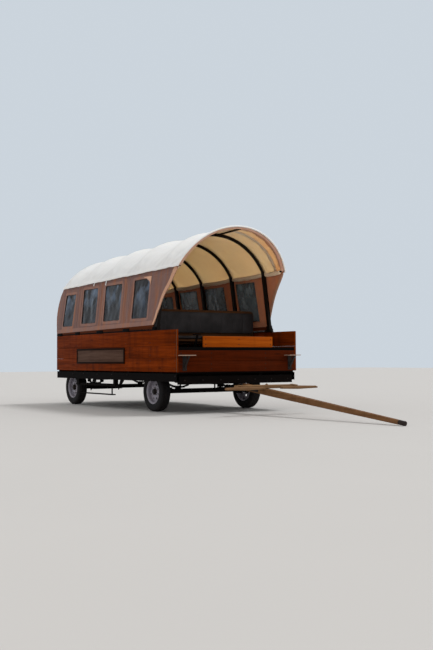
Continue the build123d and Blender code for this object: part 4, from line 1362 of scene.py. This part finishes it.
@dataclass
class RearCurtain:
    """The bellied rear sheet with its doorway."""

    door_half: float = 0.360
    door_head: float = 2.250
    foot: float = 1.298
    spring: float = 2.117
    arch_half: float = 0.990
    arch_rise: float = 0.535
    flat_u: float = -4.254
    cloth: float = 0.004
    cord: float = 0.010
    belly: tuple = ((-4.318, 1.298), (-4.430, 1.800), (-4.254, 2.117))

    def place(self, z: np.ndarray) -> np.ndarray:
        """The sheet's u at a height: bellied below the spring line and upright above it."""
        return np.where(z < self.spring, belly_line(np.minimum(z, self.spring), *self.belly), self.flat_u)

    def sheet(self) -> None:
        """Columns run beside and over the doorway; rows follow foot, spring line, head and arch."""
        curtain = SideCurtain()
        columns, rows = bands(30, 24, 30), bands(36, 8, 18)
        c, r = np.meshgrid(columns, rows, indexing="ij")
        radius = (self.arch_half ** 2 + self.arch_rise ** 2) / (2 * self.arch_rise)
        z = np.full_like(c, self.foot)
        for _ in range(4):
            edge = curtain.y(np.minimum(z, self.spring)) - 0.010
            edge = np.where(r <= 1, edge, self.arch_half - 0.012 * np.clip(2 - r, 0, 1))
            y = np.where(c <= 1, -edge + (edge - self.door_half) * c,
                         np.where(c <= 2, self.door_half * (2 * c - 3),
                                  self.door_half + (edge - self.door_half) * (c - 2)))
            arch = self.spring + self.arch_rise - radius + np.sqrt(np.maximum(radius ** 2 - y ** 2, 0))
            head = np.minimum(self.door_head, self.spring + 0.27 * (arch - self.spring))
            z = np.where(r <= 1, self.foot + (self.spring - self.foot) * r,
                         np.where(r <= 2, self.spring + (head - self.spring) * (r - 1),
                                  head + (arch - head) * (r - 2)))
        drop = np.clip((2.35 - z) / 0.4, 0, 1)
        u = self.place(z) + 0.006 * ripples(y, z * 0.25, 61, (0.15, 0.5)) * drop
        u = u + 0.002 * ripples(y, z, 62, (0.1, 0.3))
        column, row = columns[:-1] + 0.001, rows[:-1] + 0.001
        keep = ~(((column > 1) & (column < 2))[:, None] & (row < 2)[None])
        skin = Skin("rear_curtain_sheet")
        skin.patch(at(u, y, z), np.stack([y, z], -1), keep=keep)
        piece = skin.build([TAN_DUCK, TAN_INSIDE], slot="canvas_tan", stands_for=["rear_curtain"])
        thicken(piece, self.cloth, 1)

    def binding(self) -> None:
        """The doorway's corded edge."""
        border = Skin("doorway_binding")
        z = np.linspace(self.foot + 0.002, self.door_head - 0.012, 80)
        for side in Side:
            path = at(self.place(z), side.value * (self.door_half - 0.006), z)
            border.tube(path, self.cord, ACROSS, 10)
        y = np.linspace(-self.door_half, self.door_half, 30)
        border.tube(at(self.flat_u, y, self.door_head - 0.004), self.cord, ALONG, 10)
        border.build([TAN_PALE], slot="canvas_tan")

    def make(self) -> None:
        """Build the sheet and its doorway's edge."""
        self.sheet()
        self.binding()


@dataclass
class TimberBox:
    """The boarded body: sides, front, rear and gate, with their fastenings."""

    length: float = 4.330
    half: float = 1.100
    board: float = 0.028
    seams: tuple = (0.622, 0.830, 1.012, 1.250)
    low_seams: tuple = (0.622, 0.781, 0.942)
    top_board: tuple[float, float, float] = (0.640, 1.0715, 0.163)
    bevel: float = 0.0055
    gap: float = 0.0012
    post: float = 0.355
    gate_half: float = 0.345
    gate_span: tuple[float, float] = (0.640, 1.245)
    hinge_heights: tuple = (0.790, 1.100)
    hinge_bolts: tuple = (-0.04, 0.08, 0.20, 0.30)
    # Start and end across the gate, depth, height and bevel
    hinge_strap: tuple = (-0.060, 0.337, 0.004, 0.050, 0.0015)
    hinge_knuckle: tuple = (0.332, 0.348, 0.009, 0.028, 0.001)
    latch: tuple = (-0.335, -0.250, 0.004, 0.040, 0.0015)
    latch_height: float = 1.150
    barrel_y: float = 0.350
    barrel: tuple = (0.018, 0.018, 0.0088)
    strip: float = 0.010
    strip_low: tuple[float, float] = (1.264, 1.272)
    strip_top: float = 1.2955
    strip_ends: tuple[float, float] = (0.361, 1.0985)
    screw: tuple[float, float] = (0.0075, 0.003)
    screw_places: tuple = (-4.26, -3.44, -2.53, -1.59, -0.79, -0.06)
    screw_heights: tuple = (0.665, 0.785, 0.875, 0.965, 1.060, 1.200)
    # Across and height: the screws of the low front boards, and those of the top one
    front_screws: tuple = (((-1.03, -0.5, 0.5, 1.03), (0.665, 0.74, 0.83, 0.90)),
                           ((-0.60, 0.0, 0.60), (1.03, 1.11)))
    # Height of the dark bar that paints the shadow under the cap strip
    shadow_bar_height: float = 1.2593
    # Place and width of each socket plate
    plates: tuple = ((-4.17, 0.20), (-3.42, 0.20), (-2.53, 0.25), (-1.58, 0.23), (-0.66, 0.12))
    plate: tuple[float, float] = (0.005, 0.054)
    trim_span: tuple[float, float] = (0.626, 1.246)
    sign: tuple = (-3.425, -1.620, 0.742, 1.000)
    sign_rail: float = 0.030

    def plank(self, skin: Skin, x: float, ends: tuple[float, float], seams: tuple[float, float],
              shift: float) -> None:
        """Lay a board across the wagon.

        Args:
            skin: The piece it goes into.
            x: Place of its middle.
            ends: Where it starts and ends across the wagon.
            seams: Heights of the seams below and above it.
            shift: Added to the map.
        """
        (start, end), (low, high) = ends, seams
        middle, tall = (low + high) / 2, high - low - self.gap
        skin.bar((x, start, middle), (x, end, middle), self.board, tall, self.bevel, ALONG, shift)

    def sides(self) -> None:
        """Three boards to a side."""
        for side in Side:
            skin = Skin(f"side_boards_{side.word}")
            y = side.value * (self.half - self.board / 2)
            for number, (z0, z1) in enumerate(zip(self.seams, self.seams[1:])):
                middle = (z0 + z1) / 2
                skin.bar((x_at(-self.length), y, middle), (x_at(0.0), y, middle), self.board,
                         z1 - z0 - self.gap, self.bevel, shift=3.7 * number + 1.3 * side.value)
            skin.build([BOX_WOOD], slot="box_wood", stands_for=["side_walls"])

    def ends(self) -> None:
        """The front panel and its top board, the rear panels and the gate's boards."""
        inner = self.half - self.board
        x = x_at(-self.board / 2)
        # The lower boards' darker finish is painted shade
        low = Skin("front_lower_boards")
        for number, seams in enumerate(zip(self.low_seams, self.low_seams[1:])):
            self.plank(low, x, (-inner, inner), seams, 2.1 + number)
        low.build([LOW_WOOD_SHADED], slot="box_wood", stands_for=["front_wall"])
        # The top board's brighter finish is painted sunlight
        top = Skin("front_top_board")
        half, middle, tall = self.top_board
        top.bar((x, -half, middle), (x, half, middle), self.board, tall, 0.006, ALONG, 5.0)
        top.build([FRONT_WOOD_SUNLIT], slot="box_wood")
        x = x_at(-self.length + self.board / 2)
        rear, gate = Skin("rear_boards"), Skin("gate_boards")
        for number, (z0, z1) in enumerate(zip(self.seams, self.seams[1:])):
            for side in Side:
                self.plank(rear, x, (side.value * self.post, side.value * inner), (z0, z1),
                           7 + number + side.value)
            seams = (max(z0, self.gate_span[0]), min(z1, self.gate_span[1]))
            self.plank(gate, x, (-self.gate_half, self.gate_half), seams, 11 + number)
        rear.build([BOX_WOOD], slot="box_wood", stands_for=["rear_wall"])
        gate.build([BOX_WOOD], "gate", "box_wood", ["rear_gate"])

    def gate_irons(self) -> None:
        """The gate's two straps with their barrels, carriage bolts and a latch plate."""
        skin = Skin("gate_irons")
        face = x_at(-self.length)
        for z in self.hinge_heights:
            for behind, lift, (start, end, *size) in ((0.002, 0.005, self.hinge_strap),
                                                      (0.0085, 0.016, self.hinge_knuckle)):
                skin.bar((face - behind, start, z + lift), (face - behind, end, z + lift), *size, ALONG)
            low, high = ((face - 0.010, self.barrel_y, z + lift) for lift in (0.002, 0.030))
            skin.bar(low, high, *self.barrel, ALONG)
            places = np.array([(face - 0.004, y, z + 0.005) for y in self.hinge_bolts])
            skin.studs(places, -ALONG, 0.008, 0.005, 10)
        start, end, *size = self.latch
        low, high = ((face - 0.002, y, self.latch_height) for y in (start, end))
        skin.bar(low, high, *size, ALONG)
        skin.build([IRON], "gate", "rail_dark")

    def strips(self) -> None:
        """The thin boards under the curtains, which widen to the front, and round the rear corners."""
        curtain = SideCurtain()
        thick, foot, top = self.strip, self.strip_low[0], self.strip_top
        # The boards' ends shrink a little over their last millimetres, which rounds them
        u = np.array((-4.3295, -4.327, -4.320, -0.704, -0.699, -0.6965))
        inset = np.array((0.003, 0.001, 0, 0, 0.001, 0.003))
        low, high = np.interp(u, (-4.33, -0.70), self.strip_low), curtain.bottom(u) - 0.003
        loops = np.stack([rounded(thick - 2 * d, tall - 2 * d, 0.003) for d, tall in zip(inset, high - low)])
        x = x_at(-self.length + thick / 2)
        for side in Side:
            skin = Skin(f"cap_strip_{side.word}")
            path = at(u, side.value * (self.half - thick / 2), (low + high) / 2)
            skin.sweep(path, ACROSS, UPWARD, loops, shift=31 + side.value)
            start, end = (side.value * y for y in self.strip_ends)
            skin.bar((x, start, (foot + top) / 2), (x, end, (foot + top) / 2), thick, top - foot, 0.003,
                     ALONG, 34 + side.value)
            # The strips' dark finish is painted shade
            skin.build([CAP_WOOD_SHADED], slot="box_wood", stands_for=["cap_strips"])

    def screws(self) -> None:
        """Coach screws at the hoop posts and in the front boards."""
        skin = Skin("coach_screws")
        for side in Side:
            face = side.value * self.half
            places = [(x_at(u), face, z) for u in self.screw_places for z in self.screw_heights]
            skin.studs(np.array(places), side.out, *self.screw, 12)
        front = [(x_at(0.0), y, z) for rows, heights in self.front_screws for y in rows for z in heights]
        skin.studs(np.array(front), ALONG, *self.screw, 12)
        skin.build([IRON], slot="rail_dark")

    def rails(self) -> None:
        """A dark bar on each side rail's face that paints the shadow line under the cap strip, and the bolted
        plates that hold the hoops' sockets.
        """
        skin = Skin("socket_plates")
        u = np.array((-4.328, -0.698))
        bar = np.stack([rounded(0.009, tall, 0.001) for tall in (0.0160, 0.0230)])
        thick, tall = self.plate
        for side in Side:
            # Painted shade: a dark bar where the cap strip's shadow falls on the rail
            skin.sweep(at(u, side.value * (self.half - 0.005), self.shadow_bar_height), ACROSS, UPWARD, bar)
            y = side.value * (self.half + 0.0025)
            for middle, width in self.plates:
                z = 1.268 + 0.0034 * (middle + 4.17)
                start, end = (x_at(middle + d) for d in (-width / 2, width / 2))
                skin.bar((start, y, z), (end, y, z), thick, tall, 0.002)
                face = y + side.value * 0.0025
                bolts = [(x_at(middle + d), face, z) for d in (-0.3 * width, 0.3 * width)]
                skin.studs(np.array(bolts), side.out, 0.009, 0.006)
        skin.build([CHASSIS_BLACK], slot="rail_dark")

    def trims(self) -> None:
        """A thin tin strip down each front corner, paler than the boards: its pale colour is a painted
        highlight on the corner's edge.
        """
        skin = Skin("corner_trims")
        x = x_at(-0.005)
        low, high = self.trim_span
        for side in Side:
            y = side.value * (self.half + 0.0012)
            skin.bar((x, y, low), (x, y, high), 0.009, 0.0024, 0.001, ALONG)
        skin.build([CORNER_TIN], slot="step_steel")

    def signs(self) -> None:
        """A blank weathered panel in a dark moulded frame on each side."""
        (u0, u1, z0, z1), rail = self.sign, self.sign_rail
        for side in Side:
            y = side.value * (self.half + 0.009)
            moulding, panel = Skin(f"sign_frame_{side.word}"), Skin(f"sign_panel_{side.word}")
            for number, z in enumerate((z0 + rail / 2, z1 - rail / 2)):
                moulding.bar((x_at(u0), y, z), (x_at(u1), y, z), 0.018, rail, 0.005, shift=20 + number)
            for number, u in enumerate((u0 + rail / 2, u1 - rail / 2)):
                moulding.bar((x_at(u), y, z0 + rail), (x_at(u), y, z1 - rail), 0.018, rail, 0.005,
                             shift=24 + number)
            moulding.build([SIGN_FRAME], slot="sign_panel", stands_for=["sign_boards"])
            y, middle = side.value * (self.half + 0.004), (z0 + z1) / 2
            panel.bar((x_at(u0 + rail), y, middle), (x_at(u1 - rail), y, middle), 0.008,
                      z1 - z0 - 2 * rail, 0.001, shift=28 + side.value)
            panel.build([SIGN_PANEL], slot="sign_panel")

    def make(self) -> None:
        """Build the whole box."""
        self.sides()
        self.ends()
        self.gate_irons()
        self.strips()
        self.screws()
        self.rails()
        self.trims()
        self.signs()


@dataclass
class Wheel:
    """One wheel's ribbed tyre, and the nuts and the valve of its disc."""

    axle: str
    u: float
    side: Side
    radius: float = 0.311
    mid_y: float = 0.857
    around: int = 288
    # Radius and half-width down the tyre's wall, from the bead to the tread's edge
    wall: tuple = ((0.178, 0.058), (0.186, 0.0610), (0.1965, 0.0675), (0.205, 0.0740), (0.216, 0.0795),
                   (0.230, 0.0828), (0.246, 0.0838), (0.262, 0.0832), (0.276, 0.0815), (0.287, 0.0790),
                   (0.296, 0.0755), (0.3025, 0.0705), (0.3070, 0.0640))
    tread_half: float = 0.060
    crown_drop: float = 0.0028
    grooves: tuple = (-0.036, -0.0125, 0.0125, 0.036)
    slots: int = 72
    groove_depth: float = 0.0075
    slot_depth: float = 0.005
    block_depth: float = 0.003
    nut_circle: float = 0.0575
    nut_face: float = 0.0262
    nut: tuple[float, float] = (0.0105, 0.015)
    valve_circle: float = 0.1665
    valve_turn: float = 0.8
    valve_in: float = 0.012
    valve_out: float = 0.028

    @property
    def corner(self) -> str:
        """The corner's name, with which its nodes' names end."""
        return f"{self.axle}_{self.side.word}"

    @property
    def centre(self) -> np.ndarray:
        """The middle of the wheel."""
        return at(self.u, self.side.value * self.mid_y, self.radius)

    def profile(self) -> np.ndarray:
        """The tyre's section from bead to bead: its walls, and between them a parabola for the tread.

        Returns:
            Radius and half-width of each point.
        """
        half = np.array(self.wall)
        tread = np.linspace(self.tread_half, -self.tread_half, 49)
        crown = np.stack([self.radius - self.crown_drop * (tread / self.tread_half) ** 2, tread], -1)
        return np.concatenate([half, crown, half[::-1] * (1, -1)])

    def tyre(self) -> None:
        """The section turned about the axle, less ribs round the tread and slots across its shoulders."""
        profile = self.profile()
        angle = np.linspace(0, 2 * pi, self.around, endpoint=False)[:, None]
        radius, width = profile[:, 0] + 0 * angle, profile[:, 1] + 0 * angle
        ribs = np.min([np.abs(width - groove) for groove in self.grooves], axis=0)
        groove = np.clip((0.0034 - ribs) / 0.0008, 0, 1) * (np.abs(width) < 0.0605)
        slot = np.sin(angle * self.slots + 6 * np.sign(width) + width * 60) > 0.45
        shoulder = slot * (np.abs(width) > 0.044) * (radius > 0.294)
        blocks = np.sin(angle * self.slots + width * 120) > 0.7
        blocks = blocks * (np.abs(width) < 0.034) * (np.abs(width) > 0.015)
        depth = (self.groove_depth * groove + self.slot_depth * shoulder
                 + self.block_depth * blocks * (1 - groove))
        band = 0.0012 * ((radius > 0.236) & (radius < 0.240)) + 0.0008 * ((radius > 0.262) & (radius < 0.266))
        r = radius - np.where(radius > 0.29, depth, 0)
        w = width + np.sign(width) * np.where(radius < 0.29, band, 0)
        grid = np.stack([r * np.cos(angle), w, r * np.sin(angle)], -1) + self.centre
        skin = Skin(f"tyre_tread_{self.corner}")
        skin.patch(grid, wrap=(True, True), outward=True)
        skin.build([TYRE_RUBBER], f"wheel_{self.corner}", "tyre_rubber", [f"tyre_{self.corner}"], 50)

    def nuts(self) -> None:
        """Five wheel nuts on the disc."""
        out = self.side.out
        angle = np.linspace(0, 2 * pi, 5, endpoint=False) + 0.3
        ring = self.nut_circle * np.stack([np.cos(angle), 0 * angle, np.sin(angle)], -1)
        skin = Skin(f"wheel_nuts_{self.corner}")
        skin.studs(ring + self.centre + out * self.nut_face, out, *self.nut)
        skin.build([ZINC], f"wheel_{self.corner}", "hub_black")

    def valve(self) -> None:
        """The valve stem in the rim, bent outwards by a power of its length."""
        out = self.side.out
        inward = -np.array((cos(self.valve_turn), 0, sin(self.valve_turn)))
        base = self.centre - self.valve_circle * inward + 0.030 * out
        t = np.linspace(0, 1, 8)[:, None]
        path = base + inward * self.valve_in * np.sqrt(t) + out * self.valve_out * t ** 1.3
        skin = Skin(f"valve_{self.corner}")
        skin.tube(path, 0.0035, np.cross(inward, out), 8)
        skin.studs(path[-1], out, 0.0045, 0.004, 8)
        skin.build([TYRE_RUBBER], f"wheel_{self.corner}", "tyre_rubber")

    def make(self) -> None:
        """Build the tyre, the nuts and the valve."""
        self.tyre()
        self.nuts()
        self.valve()


@dataclass
class Seats:
    """Padded benches along the sides and the driver's seat and back."""

    edge: float = 0.24
    sink: float = 0.42
    piping: float = 0.004
    bench: tuple = ((-4.238, 0.702, 1.110), (-1.262, 1.038, 1.165))
    seat: tuple = ((-0.948, -0.968, 1.120), (-0.577, 0.968, 1.180))
    back: tuple = ((-0.960, -0.938, 1.227), (-0.917, 0.938, 1.568))

    def pad(self, name: str, low: Point, high: Point, along: int, channels: int,
            stands_for: Sequence[str], crown: np.ndarray = UPWARD) -> None:
        """A crowned closed form: a rounded section that closes at its ends and sinks at each channel.

        The section's size falls by exponentials of the distance to the nearer end, and sinks by an
        exponential of a sine along the length, which is 0 at every channel.

        Args:
            name: The piece's name.
            low: Lowest corner of the space it fills, as u, y and height.
            high: Highest corner.
            along: Axis of its length.
            channels: Number of sewn channels across it.
            stands_for: CAD nodes that it replaces.
            crown: Direction of the side that people sit on or lean on.
        """
        a, b = (np.array((x_at(corner[0]), *corner[1:])) for corner in (low, high))
        size, middle = b - a, (a + b) / 2
        up = int(np.argmax(crown))
        cross = 3 - along - up
        t = np.unique(np.r_[np.linspace(0, 1, channels * 24 + 1), 0.0008, 0.003, 0.997, 0.9992])
        ends = np.minimum(t, 1 - t) * size[along]
        pull = 1 - 0.9 * np.exp(-ends / 0.004) - 0.06 * np.exp(-ends / 0.03)
        wave = np.abs(np.sin(pi * t * channels))
        sink = 1 - self.sink * np.exp(-wave / 0.30)
        loop = rounded(1.0, 1.0, self.edge, 7)
        angle = np.arctan2(loop[:, 1], loop[:, 0])
        bulge = 1 + 0.05 * np.cos(2 * angle) ** 2
        raised = np.where(loop[:, 1] > 0, 1.0, 0.12)
        loops = np.empty((len(t), len(loop), 2))
        loops[..., 0] = loop[:, 0] * size[cross] * bulge * 0.955 * (pull * (0.35 + 0.65 * pull))[:, None]
        loops[..., 1] = loop[:, 1] * size[up] * 0.96 * (pull[:, None] * (1 - (1 - sink)[:, None] * raised))
        path = np.repeat(middle[None], len(t), 0)
        path[:, along] = a[along] + t * size[along]
        skin = Skin(name)
        skin.sweep(path, np.eye(3)[cross], crown, loops)
        piece = skin.build([SEAT_COVER], slot="cushion_dark", stands_for=stands_for, sharp=60)
        smooth = piece.modifiers.new("smooth", "SUBSURF")
        smooth.levels = smooth.render_levels = 1
        line = spaced(rounded(size[along] - 0.03, size[cross] - 0.02, 0.03, 10), 240)
        rail = np.repeat(middle[None], len(line), 0)
        rail[:, along] += line[:, 0]
        rail[:, cross] += line[:, 1]
        rail[:, up] += size[up] * 0.30
        cord = Skin(f"{name}_piping")
        cord.tube(rail, self.piping, crown, 8, closed=True)
        cord.build([SEAT_COVER], slot="cushion_dark")

    def make(self) -> None:
        """Build the four pads."""
        (rear, inner, low), (front, outer, high) = self.bench
        for side in Side:
            y0, y1 = sorted((side.value * inner, side.value * outer))
            self.pad(f"bench_pad_{side.word}", (rear, y0, low), (front, y1, high), 0, 8, ["bench_cushions"])
        self.pad("driver_pad", *self.seat, 1, 5, ["driver_cushions"])
        self.pad("driver_back_pad", *self.back, 1, 9, ["driver_cushions"], ALONG)


@dataclass
class Chassis:
    """Fasteners on the frame and the finishes of every CAD node that is shown."""

    rail_bolts: tuple = (-0.060, -1.56, -2.10, -2.64, -3.18, -3.62, -4.20)
    rail_face: tuple[float, float] = (1.090, 0.565)
    spring_top: tuple[float, float] = (0.470, 0.390)
    step_bolts: tuple = ((0.947, 0.993), (0.660, 0.760))
    beam_bolts: tuple[float, int] = (0.95, 7)
    head: tuple[float, float] = (0.010, 0.008)

    def fasteners(self) -> None:
        """Bolt heads on the side rails, the springs' clamps, the steps and the front beam."""
        (rail_y, rail_z), (clamp_y, clamp_z) = self.rail_face, self.spring_top
        bolts: list[tuple[Point, np.ndarray]] = []
        for side in Side:
            bolts += [((x_at(u), side.value * rail_y, rail_z), side.out) for u in self.rail_bolts]
            bolts += [((x_at(u + du), side.value * clamp_y + dy, clamp_z), UPWARD)
                      for u in AXLES.values() for du in (-0.03, 0.03) for dy in (-0.035, 0.035)]
            bolts += [((x_at(0.006), side.value * y, z), ALONG)
                      for z in self.step_bolts[1] for y in self.step_bolts[0]]
        half, count = self.beam_bolts
        bolts += [((x_at(-0.030), y, 0.500), ALONG) for y in np.linspace(-half, half, count)]
        places, ways = (np.array(rows) for rows in zip(*bolts))
        skin = Skin("frame_bolts")
        skin.studs(places, ways, *self.head)
        skin.build([IRON], slot="frame_black")

    def dress(self) -> None:
        """Give each CAD node that stays its finish."""
        finishes = {
            CHASSIS_BLACK: ("main_rails", "side_rails", "cross_members", "side_steps", "rear_steps",
                            "springs", "front_axle", "rear_axle", "knuckle_right", "knuckle_left",
                            "tie_rod_right", "tie_rod_left", "steer_yoke", "brake_lever", "front_rail",
                            "gate_hinges"),
            HOOP_BROWN: ("top_rails", "hoop_legs", *(f"hoop_arch_{number}" for number in range(1, 6))),
            DECK_WOOD: ("floor_deck",),
            SEAT_WOOD: ("bench_frames",),
            SEAT_WOOD_ACROSS: ("driver_seat",),
            STEP_GREY: ("front_steps",),
            POLE_WOOD: ("pole",),
            TREE_WOOD: ("evener", "singletree_right", "singletree_left"),
            IRON: ("pole_irons", "hub_front_right", "hub_front_left", "hub_rear_right", "hub_rear_left"),
            WHEEL_WHITE: ("wheel_front_right", "wheel_front_left", "wheel_rear_right", "wheel_rear_left"),
        }
        for material, nodes in finishes.items():
            for node in nodes:
                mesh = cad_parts[node].data
                mesh.materials.clear()
                mesh.materials.append(material)

    def make(self) -> None:
        """Build the fasteners and dress the nodes."""
        self.fasteners()
        self.dress()


@dataclass
class Studio:
    """Pale floor and backdrop, soft lamps, and the camera at the photograph's angle."""

    place: Point = (11.2374, -7.8200, 0.8197)
    yaw: float = -0.987639
    pitch: float = 0.037205
    roll: float = -0.005103
    focal_pixels: float = 900.0
    picture_height: float = 650.0
    sensor: float = 36.0
    floor_size: float = 90.0
    floor: Colour = (0.56, 0.545, 0.53)
    backdrop: Colour = (0.60, 0.66, 0.72)
    sky: Colour = (1.0, 0.99, 0.97)
    sky_strength: float = 0.76
    sun_strength: float = 1.35
    sun_angle: float = 14.0
    sun_from: Point = (0.12, 0.55, 1.0)

    def camera(self) -> None:
        """Right, up and back axes of the camera from its yaw, pitch and roll."""
        look = np.array((sin(self.yaw) * cos(self.pitch), cos(self.yaw) * cos(self.pitch), sin(self.pitch)))
        right = np.array((cos(self.yaw), -sin(self.yaw), 0.0))
        up = np.cross(right, look)
        c, s = cos(self.roll), sin(self.roll)
        right, up = c * right + s * up, -s * right + c * up
        data = bpy.data.cameras.new("camera")
        data.sensor_fit = "VERTICAL"
        data.sensor_height = self.sensor
        data.lens = self.focal_pixels / self.picture_height * self.sensor
        data.clip_end = 300.0
        camera = bpy.data.objects.new("camera", data)
        matrix = Matrix((right, up, -look)).transposed().to_4x4()
        matrix.translation = Vector((x_at(self.place[0]), self.place[1], self.place[2]))
        camera.matrix_world = matrix
        bpy.context.scene.collection.objects.link(camera)
        bpy.context.scene.camera = camera

    def lamps(self) -> None:
        """A high soft sun from the front left and an even sky."""
        sun = bpy.data.lights.new("sun", "SUN")
        sun.energy = self.sun_strength
        sun.angle = radians(self.sun_angle)
        lamp = bpy.data.objects.new("sun", sun)
        lamp.rotation_euler = Vector(self.sun_from).normalized().to_track_quat("Z", "Y").to_euler()
        bpy.context.scene.collection.objects.link(lamp)
        world = bpy.data.worlds.new("studio")
        bpy.context.scene.world = world
        world.use_nodes = True
        g = Graph(world.node_tree)
        shell = world.node_tree.nodes["Background"]
        path = g.add("LightPath").outputs
        bounced = g.math("MAXIMUM", path["Is Glossy Ray"], path["Is Transmission Ray"])
        seen = g.math("MAXIMUM", path["Is Camera Ray"], bounced)
        colour = g.mix(seen, self.sky, self.backdrop)
        strength = g.math("ADD", g.math("MULTIPLY", seen, 1.0 - self.sky_strength), self.sky_strength)
        g.tree.links.new(colour, shell.inputs["Color"])
        g.tree.links.new(strength, shell.inputs["Strength"])

    def ground(self) -> None:
        """A plain pale floor."""
        skin = Skin("studio_floor")
        side = np.linspace(-self.floor_size / 2, self.floor_size / 2, 3)
        x, y = np.meshgrid(side, side, indexing="ij")
        skin.patch(np.stack([x, y, 0 * x], -1)[::-1])
        material, g, shader, place = begin("studio floor")
        colour = g.mix(g.noise(place, 0.6, 3.0), self.floor, tuple(0.97 * c for c in self.floor))
        feed(g, shader, Base_Color=colour, Roughness=0.9)
        floor = skin.build([material])
        floor.parent = None

    def make(self) -> None:
        """Set up the studio."""
        self.camera()
        self.lamps()
        self.ground()
        bpy.context.scene.view_settings.view_transform = "Standard"


def main() -> None:
    """Build the wagon's pieces in order, then the studio."""
    logging.basicConfig(level=logging.INFO, format="%(name)s: %(message)s")
    curtains = [SideCurtain(side) for side in Side]
    wheels = [Wheel(axle, u, side) for axle, u in AXLES.items() for side in Side]
    for assembly in (Canopy(), *curtains, RearCurtain(), TimberBox(), *wheels, Seats(), Chassis(), Studio()):
        log.info("building %s", type(assembly).__name__)
        assembly.make()


if __name__ == "__main__":
    main()
